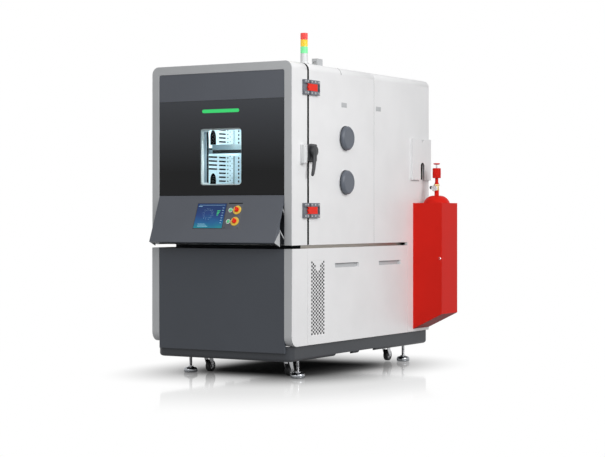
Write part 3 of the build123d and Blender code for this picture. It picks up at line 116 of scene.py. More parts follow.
def slab(x0, x1, y0, y1, z0, z1, edge=1.0, steps=2):
    """A block between two corners with rounded edges."""
    bm = bmesh.new()
    bmesh.ops.create_cube(bm, size=1.0)
    bmesh.ops.scale(bm, vec=(x1 - x0, y1 - y0, z1 - z0), verts=bm.verts)
    bmesh.ops.translate(bm, vec=((x0 + x1) / 2, (y0 + y1) / 2, (z0 + z1) / 2), verts=bm.verts)
    if edge:
        round_edges(bm, bm.edges[:], edge, steps)
    return bm


def turned(outline, steps=48):
    """Spin an outline of (radius, height) points once round local z."""
    bm = bmesh.new()
    verts = [bm.verts.new((r, 0, z)) for r, z in outline]
    edges = [bm.edges.new(pair) for pair in zip(verts, verts[1:])]
    bmesh.ops.spin(
        bm, geom=verts + edges, cent=(0, 0, 0), axis=(0, 0, 1), dvec=(0, 0, 0),
        angle=math.tau, steps=steps, use_merge=True, use_duplicate=False,
    )
    bmesh.ops.remove_doubles(bm, verts=bm.verts, dist=1e-4)
    return bm


def disc(radius, z0, z1, steps=48):
    """A plain disc or rod about local z."""
    return turned([(0, z0), (radius, z0), (radius, z1), (0, z1)], steps)


def hexagon(r, depth, edge):
    """A six-sided block centred on the origin, with rounded edges."""
    bm = bmesh.new()
    bmesh.ops.create_cone(bm, cap_ends=True, segments=6, radius1=r, radius2=r, depth=depth)
    round_edges(bm, bm.edges[:], edge)
    return bm


def arc(x, y, radius, start, end, steps, tall=None):
    """Points on an arc between two angles in degrees; tall makes it an ellipse."""
    turns = [math.radians(start + (end - start) * step / steps) for step in range(steps + 1)]
    return [(x + radius * math.cos(t), y + (tall or radius) * math.sin(t)) for t in turns]


def plate(outline, z0, z1, edge=0.0):
    """A flat outline of (x, y) points given a thickness, with its front rim rounded."""
    bm = bmesh.new()
    face = bm.faces.new([bm.verts.new((x, y, z0)) for x, y in outline])
    grown = bmesh.ops.extrude_face_region(bm, geom=[face])["geom"]
    verts = [g for g in grown if isinstance(g, bmesh.types.BMVert)]
    bmesh.ops.translate(bm, vec=(0, 0, z1 - z0), verts=verts)
    if edge:
        rim = [e for e in bm.edges if all(abs(v.co.z - z1) < 1e-6 for v in e.verts)]
        round_edges(bm, rim, edge)
    return bm


def ring(r_out, r_in, z0, z1, edge=0.5, steps=48):
    """A flat ring with softened outer and inner rims."""
    outline = [
        (r_in, z0), (r_out, z0), (r_out, z1 - edge), (r_out - edge, z1),
        (r_in + edge, z1), (r_in, z1 - edge), (r_in, z0),
    ]
    return turned(outline, steps)


def shifted(bm, x=0.0, y=0.0, z=0.0):
    """The same mesh moved in its local axes."""
    bmesh.ops.translate(bm, vec=(x, y, z), verts=bm.verts)
    return bm


def laid(bm, about, degrees, verts=None):
    """The same mesh, or some of it, turned about an axis through the origin."""
    turn = Matrix.Rotation(math.radians(degrees), 3, about)
    bmesh.ops.rotate(bm, cent=(0, 0, 0), matrix=turn, verts=verts or bm.verts)
    return bm


def joined(parts):
    """Several meshes as one."""
    whole = bmesh.new()
    for part in parts:
        scratch = bpy.data.meshes.new("scratch")
        part.to_mesh(scratch)
        part.free()
        whole.from_mesh(scratch)
        bpy.data.meshes.remove(scratch)
    return whole


print("mesh tools ready")


# %% [markdown]
# ## From mesh to piece
#
# A piece is placed once, by its axes, and then rides on the CAD body that carries it, so the
# door's keeper swings with the door. The record's material slot names its finish, unless it
# brings its own. Smooth shading with a sharp-angle limit keeps flats flat and curves round.


# %% Finish a piece
def piece(name, shape, where, slot, body, stands_for=None, look=None, sharp=35):
    """Place a mesh, or several as one, give it a material, and let it ride on its body."""
    bm = joined(shape) if isinstance(shape, list) else shape
    bmesh.ops.recalc_face_normals(bm, faces=bm.faces)
    bm.transform(where)
    mesh = bpy.data.meshes.new(name)
    bm.to_mesh(mesh)
    bm.free()
    mesh.shade_smooth()
    mesh.set_sharp_from_angle(angle=math.radians(sharp))
    mesh.materials.append(look or looks[slot])
    obj = bpy.data.objects.new(name, mesh)
    scene.collection.objects.link(obj)
    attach(obj, body)
    if stands_for:
        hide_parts(*stands_for)
    print(name, "-", len(mesh.polygons), "faces on", body)
    return obj


def screws(places, radius, height=1.6):
    """Pan-head screws with a round socket, at (x, y, z) places of the local axes."""
    shares = ((0, 0.35), (0.38, 0.35), (0.45, 1), (0.75, 1), (1, 0.45), (1, 0))
    outline = [(radius * across, height * up) for across, up in shares]
    return joined([shifted(turned(outline, 20), *place) for place in places])


print("piece tools ready")

# %% [markdown]
# ## Finishes
#
# One builder makes every plain finish. A fine noise gives the bump of the surface: the orange
# peel of powder coat, the grain of a moulding, the scratches of brushed steel when it is
# stretched along one axis. A broad noise moves colour and roughness a few percent, because
# no sheet is evenly coated. All of it is measured in object space, so it stays on the part.


# %% Node tools
def feed(tree, node, inputs):
    """Set a node's inputs: a socket is linked in, anything else is a plain value."""
    for key, value in inputs.items():
        if isinstance(value, bpy.types.NodeSocket):
            tree.links.new(value, node.inputs[key])
        else:
            node.inputs[key].default_value = value


def added(tree, kind, inputs=None, **settings):
    """A new shader node with its settings made and its inputs fed."""
    node = tree.nodes.new("ShaderNode" + kind)
    for key, value in settings.items():
        setattr(node, key, value)
    feed(tree, node, inputs or {})
    return node


def ramp(tree, value, stops):
    """The colour of a ramp of (position, colour) stops at a value."""
    node = added(tree, "ValToRGB", {"Fac": value})
    elements = node.color_ramp.elements
    for position, _ in stops[1:-1]:
        elements.new(position)
    for element, (position, colour) in zip(elements, stops):
        element.position = position
        element.color = (*colour, 1.0)
    return node.outputs["Color"]


def new_look(name):
    """A new material, with its node tree and its principled shader."""
    look = bpy.data.materials.new(name)
    look.use_nodes = True
    return look, look.node_tree, look.node_tree.nodes["Principled BSDF"]


# %% The finish builder
def linear(code):
    """A colour written as #rrggbb, as linear light."""
    parts = [int(code[i:i + 2], 16) / 255 for i in (1, 3, 5)]
    return [c / 12.92 if c <= 0.04045 else ((c + 0.055) / 1.055) ** 2.4 for c in parts]


def shaded(colour, share):
    """The colour made a little darker or lighter."""
    return [min(1.0, c * (1 + share)) for c in colour]


def finish(name, code, rough, metal=0.0, grain=900, bump=0.10, depth=0.05, drift=0.03,
           coat=0.0, specular=0.5, stretch=(1, 1, 1), glow=0.0):
    """A principled material with fine bump, and slow drift in colour and roughness."""
    look, tree, shader = new_look(name)
    colour = linear(code)
    place = added(tree, "TexCoord").outputs["Object"]
    stretched = added(tree, "Mapping", {"Vector": place, "Scale": stretch}).outputs["Vector"]
    fine = added(tree, "TexNoise", {"Vector": stretched, "Scale": grain, "Detail": 3})
    broad = added(tree, "TexNoise", {"Vector": place, "Scale": 4, "Detail": 4})
    relief = added(tree, "Bump", {
        "Height": fine.outputs["Fac"], "Strength": bump, "Distance": depth * MM,
    })
    source = fine if stretch != (1, 1, 1) else broad
    spread = added(tree, "MapRange", {
        "Value": source.outputs["Fac"], "To Min": max(0.02, rough - 0.06), "To Max": rough + 0.06,
    })
    stops = ((0.3, shaded(colour, -drift)), (0.7, shaded(colour, drift)))
    feed(tree, shader, {
        "Base Color": ramp(tree, broad.outputs["Fac"], stops),
        "Roughness": spread.outputs["Result"], "Normal": relief.outputs["Normal"],
        "Metallic": metal, "Specular IOR Level": specular,
        "Coat Weight": coat, "Coat Roughness": 0.08,
    })
    if glow:
        feed(tree, shader, {"Emission Color": (*colour, 1.0), "Emission Strength": glow})
    return look


print("finish builder ready")

# %% [markdown]
# ## Paints, metals, plastics
#
# Colours are written as they look in plain light. Powder coats share one orange-peel grain of
# about a millimetre. Brushed steel has its grain stretched 60 times along the rolling
# direction. Rubber and the latch's glass-filled nylon are matt, with a coarser bump.

# %% Make the finishes
looks = {
    "white": finish("white_coat", "#eeeeef", 0.40),
    "grey": finish("grey_coat", "#bbbdbf", 0.38),
    "slate": finish("slate_coat", "#484c53", 0.42, specular=0.3),
    "base_grey": finish("base_coat", "#373a3f", 0.42, specular=0.35),
    "console_slate": finish("console_coat", "#5c6068", 0.40, specular=0.3),
    "stainless": finish("stainless", "#c9d2d8", 0.30, metal=1, grain=35, bump=0.2,
                        depth=0.08, stretch=(1, 1, 60)),
    "chrome_steel": finish("chrome_steel", "#dcdcde", 0.10, metal=1, grain=300, bump=0.04),
    "zinc_steel": finish("zinc_steel", "#c3c4c6", 0.34, metal=1, grain=220, drift=0.10),
    "foam": finish("rigid_foam", "#e6dcb8", 0.85, grain=500, bump=0.7, depth=0.5, drift=0.08),
    "dark_glass": finish("dark_glass", "#121316", 0.06, specular=0.2, grain=6, bump=0.02),
    "seal": finish("black_seal", "#17181a", 0.72, grain=400, bump=0.3, depth=0.2, specular=0.3),
    "castalloy": finish("cast_alloy", "#c2c4c7", 0.45, metal=0.9, grain=260, bump=0.4,
                        depth=0.25, drift=0.06),
    "black_paint": finish("black_paint", "#232427", 0.35, grain=500, bump=0.2, depth=0.1),
    "copper_grey": finish("coil_fins", "#b9b0a6", 0.38, metal=0.9, grain=120, bump=0.4,
                          depth=0.4, drift=0.12, stretch=(8, 1, 1)),
    "red_plastic": finish("red_plastic", "#ea3325", 0.36, grain=500, bump=0.1, specular=0.10),
    "green_plastic": finish("green_plastic", "#4fcf86", 0.22, grain=300, coat=0.5, glow=0.12),
    "latch_black": finish("latch_nylon", "#2a2b2e", 0.48, grain=700, bump=0.4, depth=0.12),
    "plate_grey": finish("plate_coat", "#6b6f77", 0.42, grain=700, bump=0.2, depth=0.08),
    "white_plastic": finish("pale_plastic", "#e2e3e4", 0.38, grain=500, bump=0.15),
    "cap_slate": finish("cap_rubber", "#5a606a", 0.40, grain=450, bump=0.3, depth=0.15),
    "bin_red": finish("red_coat", "#dd251b", 0.40, grain=800, specular=0.06),
    "brass_valve": finish("machined_brass", "#cdb27a", 0.28, metal=1, grain=60, bump=0.2,
                          stretch=(1, 1, 20)),
    "tyre_black": finish("tyre_rubber", "#2d2e30", 0.62, grain=350, bump=0.3, depth=0.2),
    "lens": finish("clear_lens", "#e8e8e0", 0.25, grain=200, coat=0.4),
}
yellow = finish("yellow_collar", "#f6cf4a", 0.35, grain=500)
# Near-black used as painted shade (groove fold, duct gap, vent holes, hood slot) and as the real
# black of the name slot and the sheet joints.
painted_shade_and_black = finish("painted_shade_and_black", "#0e0f11", 0.7, grain=200, specular=0.2)
taupe = finish("groove_trim", "#c3beb6", 0.40, metal=0.6, grain=90, stretch=(1, 60, 60))
# Deepest black: painted shade inside the duct and rail holes, and the real black of the seam seal
# and the window tunnel seal.
seal_black_and_hole_shade = finish("painted_hole_shade_and_seal_black", "#040405", 0.9, grain=200, specular=0.0)
chamber_steel = finish("chamber_steel", "#dbe8ee", 0.45, metal=0.35, grain=35, bump=0.2,
                       depth=0.08, stretch=(1, 1, 60))
tunnel_shadow_grey = finish("tunnel_shadow_grey", "#8b9ba7", 0.5, metal=0.2, grain=200)
groove_strip_and_shadow = finish("groove_strip_and_shadow", "#3a3d43", 0.6, grain=200, specular=0.2)
pad_chrome = finish("pad_chrome", "#9a9da1", 0.12, metal=1, grain=300, bump=0.04)
bin_underside_shade = finish("red_painted_shade", "#8d120d", 0.5, grain=800, specular=0.05)
print(len(looks), "slot finishes")

# %% [markdown]
# ## Glass and light
#
# The window's panes have to let the lamp's light through, so they are a mix of a clear
# surface and a mirror one, weighed by Fresnel: clear seen square on, brighter at a glancing
# angle. The light bar and the lamp tube are emitters. Their colour is on the shader itself.


# %% Clear glass, light bar, lamp
def clear_glass():
    """A thin clear pane: mostly see-through, with a Fresnel reflection and a faint tint."""
    look, tree, shader = new_look("clear_glass")
    tree.nodes.remove(shader)
    place = added(tree, "TexCoord").outputs["Object"]
    waves = added(tree, "TexNoise", {"Vector": place, "Scale": 9}).outputs["Fac"]
    relief = added(tree, "Bump", {"Height": waves, "Strength": 0.03, "Distance": 0.2 * MM})
    through = added(tree, "BsdfTransparent", {"Color": (0.93, 0.975, 0.98, 1.0)})
    mirror = added(tree, "BsdfGlossy", {"Roughness": 0.03, "Normal": relief.outputs["Normal"]})
    edge = added(tree, "Fresnel", {"IOR": 1.15})
    mix = added(tree, "MixShader", {
        "Fac": edge.outputs["Fac"], 1: through.outputs["BSDF"], 2: mirror.outputs["BSDF"],
    })
    feed(tree, tree.nodes["Material Output"], {"Surface": mix.outputs["Shader"]})
    return look


looks["clear_glass"] = clear_glass()
looks["led"] = finish("light_bar", "#3bcf70", 0.3, grain=300, glow=0.4, specular=0.2)
lamp_glow = finish("lamp_tube", "#f2fbff", 0.3, grain=200, glow=3.0)


def painted_reflection_upward(look, low, high, codes):
    """Paints a reflection: a plain finish that grows lighter with height, in the node's own
    metres.
    """
    tree = look.node_tree
    place = added(tree, "TexCoord").outputs["Object"]
    up = added(tree, "SeparateXYZ", {"Vector": place}).outputs["Z"]
    height = added(tree, "MapRange", {"Value": up, "From Min": low, "From Max": high})
    stops = [(position, linear(code)) for position, code in zip((0.0, 1.0), codes)]
    colour = ramp(tree, height.outputs["Result"], stops)
    feed(tree, tree.nodes["Principled BSDF"], {"Base Color": colour})


# The dark glass panel grows lighter towards the top: a painted reflection.
painted_reflection_upward(looks["dark_glass"], 1.25, 1.72, ("#0e0f11", "#4a4d53"))
print("glass and light ready")

# %% [markdown]
# ## A lit touch screen
#
# The panel shows a plain operating page. Its ground is a blue field that drifts from deep
# blue to teal, made from the face's own UV, because a screen's picture belongs to its glass
# and not to the room. The marks on it are thin meshes, added further down.


# %% Screen ground
def screen_ground():
    """A blue to teal field under glossy glass, slightly lit."""
    look, tree, shader = new_look("screen_ground")
    place = added(tree, "TexCoord").outputs["UV"]
    up = added(tree, "SeparateXYZ", {"Vector": place}).outputs["Y"]
    noise = added(tree, "TexNoise", {"Vector": place, "Scale": 2.5, "Detail": 2})
    field = added(
        tree, "Math", {0: noise.outputs["Fac"], 1: 0.45, 2: up}, operation="MULTIPLY_ADD"
    )
    codes = ((0.15, "#1b8a93"), (0.45, "#1a5f93"), (0.75, "#1d3f7c"), (1.0, "#15356a"))
    stops = [(position, linear(code)) for position, code in codes]
    colour = ramp(tree, field.outputs["Value"], stops)
    feed(tree, shader, {
        "Base Color": colour, "Emission Color": colour, "Emission Strength": 0.2,
        "Roughness": 0.12, "Specular IOR Level": 0.25,
    })
    return look


looks["screen"] = screen_ground()
print("screen ground ready")

# %% [markdown]
# ## Paint the CAD nodes
#
# The record says which finish each node has, so the paint list isn't typed again: the
# node's slot picks the material. The solids stay as they are.

# %% Slots to nodes
slot_of = {part["node"]: part["material_slot"] for part in frame["record"]["subparts"]}
for name, obj in nodes.items():
    obj.data.materials.clear()
    obj.data.materials.append(looks[slot_of[name]])
print("painted", len(nodes), "nodes")


# %% [markdown]
# ## Second colours on one solid
#
# Some solids carry more than one colour: the base frame is grey below and dark in the groove
# between the cabinets, partly a black strip and partly painted shadow; the console's collars
# are yellow. Several other second colours here are painted light or shade, as said at each.
# Faces are picked by where they are, which leaves every vertex in place.


# %% Paint by place
def repaint(name, look, test, where=None):
    """Give a second material to the faces whose middle passes the test, in local axes."""
    mesh = nodes[name].data
    mesh.materials.append(look)
    last = len(mesh.materials) - 1
    into = (where or UP).inverted()
    count = 0
    for face in mesh.polygons:
        if test(into @ face.center):
            face.material_index = last
            count += 1
    print("repainted", count, "faces of", name)


GROOVE_LOW, GROOVE_RING, FOLD_LOW, FOLD_BACK = 735, 215, 780, 186
CORE_FOOT, CORE_DEEP, CHEEK_X, CHEEK_BACK = 1108, 125, 446, -12
RIM_SKIN, TUNNEL_HALF, TUNNEL_DEEP, BIN_SLOPE = 1.5, 146, 84, 395
SWITCH_X, SWITCH_ROWS = 143, (("upper", 85), ("lower", 158))
# The groove's front faces are dark: partly a black strip, partly painted shadow inside the groove.
repaint("base_frame", groove_strip_and_shadow, lambda p: p.z > GROOVE_LOW and p.y < GROOVE_RING)
repaint("base_frame", taupe, lambda p: p.z > GROOVE_LOW and p.y >= GROOVE_RING)
# The fixed panels' top fold at the groove is painted near-black: painted shadow inside the groove.
repaint("fixed_panels", painted_shade_and_black, lambda p: p.z > FOLD_LOW and p.y < FOLD_BACK)
repaint("door_core", looks["slate"], lambda p: p.z < CORE_FOOT and p.y < CORE_DEEP)
# The lower faces of the flap's side cheeks are painted light grey: painted light where the light
# from the right falls on them.
repaint("console_flap", looks["grey"], lambda p: abs(p.x) > CHEEK_X and p.z < CHEEK_BACK, FLAP)


def on_rim(p):
    """The rim of the front: its two sides, its top, and the two round corners."""
    past_x, past_z = abs(p.x) - (BODY_HALF - CORNER), p.z - (BODY_HIGH - CORNER)
    in_corner = past_x > 0 and past_z > 0 and math.hypot(past_x, past_z) > CORNER - RIM_SKIN
    on_side = abs(p.x) > BODY_HALF - RIM_SKIN
    return p.y > 3 and (on_side or p.z > BODY_HIGH - RIM_SKIN or in_corner)


repaint("door_bezel", looks["white"], on_rim)
repaint("lower_bezel", looks["white"], lambda p: p.y > 3 and abs(p.x) > BODY_HALF - RIM_SKIN)
# The front faces of the window tunnel are painted white: painted light on the lit part of the
# tunnel wall.
repaint("door_liner", looks["white"], lambda p: abs(p.x) < TUNNEL_HALF and p.y < TUNNEL_DEEP)
# The bin's sloped bottom is painted a darker red: painted shade under the bin.
repaint("extinguisher_bin", bin_underside_shade, lambda p: p.z < BIN_SLOPE)
# The chamber liner's faces in the gap behind the duct plate are painted near-black: painted shade.
repaint("chamber_liner", painted_shade_and_black, lambda p: p.x < -301 and p.x > -336.5 and 190 < p.y < 890)
for _, u in SWITCH_ROWS:
    repaint(
        "console_flap", yellow,
        lambda p, u=u: p.z > 10.05 and math.hypot(p.x - SWITCH_X, p.y + u) < 28.5, FLAP,
    )

# %% [markdown]
# ## Softer sheet edges
#
# Folded sheet and cast parts have radii of a millimetre or two. The CAD solids are sharp
# there, so a weld and a bevel modifier round them for the eye. A modifier leaves the mesh
# underneath untouched, which is why it is used here instead of editing.


# %% Bevel the main solids
def soften(name, width):
    """Round a CAD node's sharp edges with modifiers only."""
    obj = nodes[name]
    weld = obj.modifiers.new("weld", "WELD")
    weld.merge_threshold = 0.02 * MM
    bevel = obj.modifiers.new("edge", "BEVEL")
    bevel.width = width * MM
    bevel.segments = 2
    bevel.limit_method = "ANGLE"
    bevel.angle_limit = math.radians(40)
    bevel.use_clamp_overlap = True
    bevel.harden_normals = True


for width, names in (
    (1.2, "door_shell upper_shell plant_shell console_flap extinguisher_bin pipe_hood"),
    (1.0, "side_panel port_flanges port_plug_upper port_plug_lower"),
    (1.5, "relief_vent control_box"),
    (1.6, "safety_bolt_upper safety_bolt_lower"),
):
    for name in names.split():
        soften(name, width)
print("edges softened")

# %% [markdown]
# ## Stack light
#
# A signal tower is a stack of identical lens modules over a pale base, each module ribbed
# inside so that its lamp spreads. The whole tower is turned round one axis. Modelling the
# rib grooves in the outline is cheaper than displacing a cylinder, and keeps rims crisp.

# %% Tower
LENSES = (("green", "#7df0a0", 0.18), ("amber", "#ffcf1e", 0.15), ("red", "#f0392f", 0.18))
LENS_LOW, LENS_HIGH, RIBS, RIB_PITCH = 1962.4, 41.2, 8, 4.1
TOWER_X, TOWER_Y = 441, 250
tower = UP @ Matrix.Translation((TOWER_X, TOWER_Y, 0))
base = turned([
    (0, 1900), (29, 1900), (29, 1905), (26.5, 1908), (22.5, 1908.5), (22.5, 1916), (21.5, 1917),
    (22.8, 1918), (22.8, 1958), (21.6, 1959), (21.6, 1961), (22.8, 1962), (0, 1962),
])
piece("stack_base", base, tower, "white_plastic", "cabinet", ["stack_light"])
for level, (word, code, glow) in enumerate(LENSES):
    look = finish("lens_" + word, code, 0.22, grain=150, coat=0.5, glow=glow)
    low = LENS_LOW + level * LENS_HIGH
    outline = [(0, low), (20.5, low), (20.5, low + 2), (22.9, low + 3)]
    for rib in range(RIBS):
        z = low + 5 + rib * RIB_PITCH
        outline += [(22.9, z), (22.3, z + 1.4), (22.9, z + 2.8)]
    top = low + LENS_HIGH - 1.2
    outline += [(22.9, top - 1.5), (21.4, top), (0, top)]
    lens = turned(outline, 56)
    piece("stack_lens_" + word, lens, tower, "lens", "cabinet", ["stack_light"], look)

# %% [markdown]
# ## Safety bolts and their plates
#
# Beside the latch, two short bolts hold the door shut. Each runs from a plate on the cabinet
# into a plate on the door. The plates are milled blocks with rounded rims, held by pale
# screws. They are two pieces because the door carries one of them away.


# %% Bolt plates
def bolt_plates(near, far):
    """At each bolt a base and two raised cheeks, between two measures behind the front."""
    parts = [slab(near, far, z - PLATE_HALF, z + PLATE_HALF, 0, 8, 1.5) for z in BOLTS]
    for z in BOLTS:
        for side in (-1, 1):
            low, high = sorted((z + side * SLOT_HALF, z + side * PLATE_HALF))
            parts.append(slab(near, far, low, high, 7, PLATE_TOP, 1.5))
    return parts


BOLTS = (1751.5, 1015.0)
PLATE_HALF, PLATE_TOP, SLOT_HALF, BODY_END = 44.5, 18, 21.8, 301
ends = [slab(BODY_END - 3.4, BODY_END, z - 23, z + 23, 7, PLATE_TOP, 0.8) for z in BOLTS]
piece("bolt_plates_door", bolt_plates(121, 176), SIDE, "plate_grey", "door", ["door_keepers"])
piece("bolt_plates_body", bolt_plates(191, BODY_END) + ends, SIDE, "plate_grey", "cabinet",
      ["latch_bases"])
for word, body, node, columns in (
    ("door", "door", "door_keepers", (132, 162)),
    ("body", "cabinet", "latch_bases", (206, 246, 288)),
):
    heads = [(y, z + dz, PLATE_TOP) for z in BOLTS for dz in (-34, 34) for y in columns]
    piece("bolt_screws_" + word, screws(heads, 5.5, 3.0), SIDE, "zinc_steel", body, [node])

# %% [markdown]
# ## Keeper
#
# The latch pulls against a pale block on the door. It is a moulding: a box with soft edges,
# a parting groove round it and a steel roller in its rear face, where the latch's cam bites.

# %% Keeper block
block_parts = [
    slab(96, 131, 1291, 1409, 0, 10, 2.0), slab(97, 130.5, 1292.5, 1407.5, 9, 32, 5.0, 4),
]
piece("latch_keeper", block_parts, SIDE, "white_plastic", "door", ["door_keepers"])
roller = turned([(0, -22), (4, -22), (5, -21), (5, 21), (4, 22), (0, 22)], 24)
roller = shifted(laid(roller, "X", 90), 126.3, 1350, 28)
piece("keeper_roller", roller, SIDE, "chrome_steel", "door", ["door_keepers"])
corner_heads = [(108, z, 32) for z in (1303, 1397)]
piece("keeper_screws", screws(corner_heads, 4.5, 1.6), SIDE, "zinc_steel", "door",
      ["door_keepers"])

# %% [markdown]
# ## Latch housing and lever
#
# The latch is black nylon: a foot on the body, a nose that reaches over the seam to the keeper,
# and a lever that hangs from a round hub. The arm is lofted: rings of a few sizes are placed
# along its curve and bridged, and a subdivision surface smooths them. An extruded outline
# would give a flat bar, and this one is rounded like a hand grip.


# %% Housing and arm
def lofted(stations):
    """Rings of (x, y, z, half width, half thickness) bridged into one closed skin."""
    bm = bmesh.new()
    rings = []
    for x, y, z, wide, thick in stations:
        made = bmesh.ops.create_circle(bm, cap_ends=False, radius=1.0, segments=12)["verts"]
        bmesh.ops.scale(bm, vec=(wide, thick, 1), verts=made)
        laid(bm, "X", 90, made)
        bmesh.ops.translate(bm, vec=(x, y, z), verts=made)
        rings.append([e for e in bm.edges if all(v in made for v in e.verts)])
    for first, second in zip(rings, rings[1:]):
        bmesh.ops.bridge_loops(bm, edges=first + second)
    bmesh.ops.holes_fill(bm, edges=[e for e in bm.edges if e.is_boundary], sides=0)
    return bm


HUB = (188, 1370)
housing = [
    slab(203, 249, 1306, 1414, 0, 12, 2.5), slab(204, 248, 1308, 1412, 10, 30, 7.0, 4),
    slab(132.5, 212, 1311, 1409, 10.5, 30, 7.0, 4),
    shifted(turned([(0, 0), (37, 0), (37, 3), (35, 5), (0, 5)]), *HUB, 25.2),
]
piece("latch_housing", housing, SIDE, "latch_black", "cabinet", ["latch_bases"])
arm = lofted([
    (188, 1388, 46, 19, 11), (188, 1370, 47, 25, 12), (187, 1346, 47, 23, 12),
    (183, 1322, 48, 16, 11.5), (178, 1292, 49, 13.5, 11), (172, 1262, 49, 13, 10.5),
    (166, 1238, 48, 12.5, 10), (163, 1224, 47, 10, 8.5), (162, 1217.5, 46.5, 5, 4.5),
])
lever = piece("lever_arm", arm, SIDE, "latch_black", "lever", ["latch_lever"], sharp=80)
lever.modifiers.new("smooth", "SUBSURF").render_levels = 2
hub = turned([(0, 31), (33, 31), (33.5, 33), (33.5, 50), (31, 54), (25, 56), (0, 56)], 56)
piece("lever_hub", shifted(hub, *HUB), SIDE, "latch_black", "lever", ["latch_lever"])
spot = turned([(0, 56.9), (6, 56.9), (8, 56), (10, 55.9), (10, 54), (0, 54)], 40)
piece("lever_spot", shifted(spot, *HUB), SIDE, "castalloy", "lever", ["latch_lever"])

# %% [markdown]
# ## Port rims
#
# Each cable port has a flat ring on the wall and a rubber plug. A thin dark lip where the
# plug meets its ring, and a raised ring on the plug's face, give it the moulded look.

# %% Lips, face rings
PORT_Y = 638
for word, z in (("upper", 1464.0), ("lower", 1190.0)):
    lip = shifted(ring(76.5, 70, 6.0, 8.5, 1.0, 64), PORT_Y, z)
    piece("port_lip_" + word, lip, SIDE, "seal", "plug_" + word)
    dish = shifted(ring(60, 55, 31.6, 33.0, 0.7, 64), PORT_Y, z)
    piece("port_dish_" + word, dish, SIDE, "cap_slate", "plug_" + word)

# %% [markdown]
# ## Vent holes
#
# Behind the perforated plate lies a dark sheet, painted shade, which is why the holes read
# black. Each hole has a thin black disc round it, painted shade of the hole. The holes' upper
# limit dips in the middle, as a V.

# %% Shade sheet, hole shades, finger pulls
VENT_Y, VENT_Z, VENT_WIDE, VENT_PITCH, COLUMNS, ROWS = 305.5, 261, 159, 22.65, 9, 22
V_HIGH, V_DEEP, HOLE_MARGIN = 472, 80, 4.6
PULLS, PULL_LONG = (514, 1084), 300
piece("vent_shade_sheet", slab(221, 390, 256, 719, -12, -4.5, 1.0), SIDE, "seal",
      "removable_panel", look=painted_shade_and_black)
hole_shades = []
for column in range(COLUMNS):
    across = (column - COLUMNS // 2) * VENT_WIDE / COLUMNS
    slope = V_HIGH - V_DEEP * (1 - 2 * abs(across) / VENT_WIDE)
    for row in range(ROWS):
        up = (row + 0.5 + 0.5 * (column % 2)) * VENT_PITCH
        if up < slope - HOLE_MARGIN:
            hole_shades.append(shifted(disc(7.0, 0.05, 0.25, 16), VENT_Y + across, VENT_Z + up))
piece("vent_hole_shades", hole_shades, SIDE, "seal", "removable_panel", look=painted_shade_and_black)
# The back of each finger pull is a grey plate: painted shade inside the recess.
for number, y in enumerate(PULLS, 1):
    pull = slab(y + 0.5, y + PULL_LONG - 0.5, 664.5, 690.5, -15.8, -14.8, 0.2)
    piece("pull_shade_%d" % number, pull, SIDE, "grey", "removable_panel")

# %% [markdown]
# ## Touch screen page
#
# The page is generic: a header line, a ring of dots, a few bars and a column of ticks. Marks
# are discs and strips a few tenths of a millimetre proud of the glass.

# %% Screen face
GLASS, INK, INK_TOP = 11.0, 11.3, 11.5
PAGE_X, PAGE_Y = (-147.6, 59.6), (-201.6, -42.4)
face = slab(*PAGE_X, *PAGE_Y, GLASS - 0.6, GLASS + 0.3, 0.3, 1)
layer = face.loops.layers.uv.new("page")
for side in face.faces:
    for loop in side.loops:
        loop[layer].uv = (
            (loop.vert.co.x - PAGE_X[0]) / (PAGE_X[1] - PAGE_X[0]),
            (loop.vert.co.y - PAGE_Y[0]) / (PAGE_Y[1] - PAGE_Y[0]),
        )
piece("screen_face", face, FLAP, "screen", "console")
page_ink = finish("page_ink", "#9fd0ea", 0.4, grain=300, glow=0.5)
page_green = finish("page_green", "#35c66f", 0.4, grain=300, glow=0.5)
marks = [
    slab(-138, 50, -53.5, -52.5, INK, INK_TOP, 0), slab(-138, -112, -62, -60, INK, INK_TOP, 0),
]
DOTS, DOT_RING = 36, (-62, -110)
for step in range(DOTS):
    turn = math.tau * step / DOTS
    reach = 26 + 6 * (step % 3)
    x, y = DOT_RING[0] + reach * math.cos(turn), DOT_RING[1] + reach * math.sin(turn)
    marks.append(shifted(disc(1.1, INK, INK_TOP, 8), x, y))
for row in range(7):
    marks.append(slab(36, 48, -72 - row * 16, -70 - row * 16, INK, INK_TOP, 0))
for row in range(3):
    marks.append(slab(-120, -70 + 12 * row, -176 - row * 8, -174.5 - row * 8, INK, INK_TOP, 0))
piece("screen_marks", marks, FLAP, "screen", "console", look=page_ink)
bars = [slab(2, 24 - 4 * row, -92 - row * 9, -88 - row * 9, INK, 11.55, 0) for row in range(4)]
piece("screen_bars", bars, FLAP, "screen", "console", look=page_green)
frame_parts = [
    slab(-151, 63, -42.5, -39, 9.5, 11.4, 0.5), slab(-151, 63, -205, -201.5, 9.5, 11.4, 0.5),
    slab(-151, -147.5, -205, -39, 9.5, 11.4, 0.5), slab(59.5, 63, -205, -39, 9.5, 11.4, 0.5),
]
piece("screen_frame", frame_parts, FLAP, "black_paint", "console")

# %% [markdown]
# ## Main switches and push buttons
#
# Two isolator switches have a yellow collar and a red grip bar, which is how such switches
# are coloured so that they are found in a hurry. Beside each sits a green lamp button with a
# bright bezel. A name strip above them is left as a plain black slot.

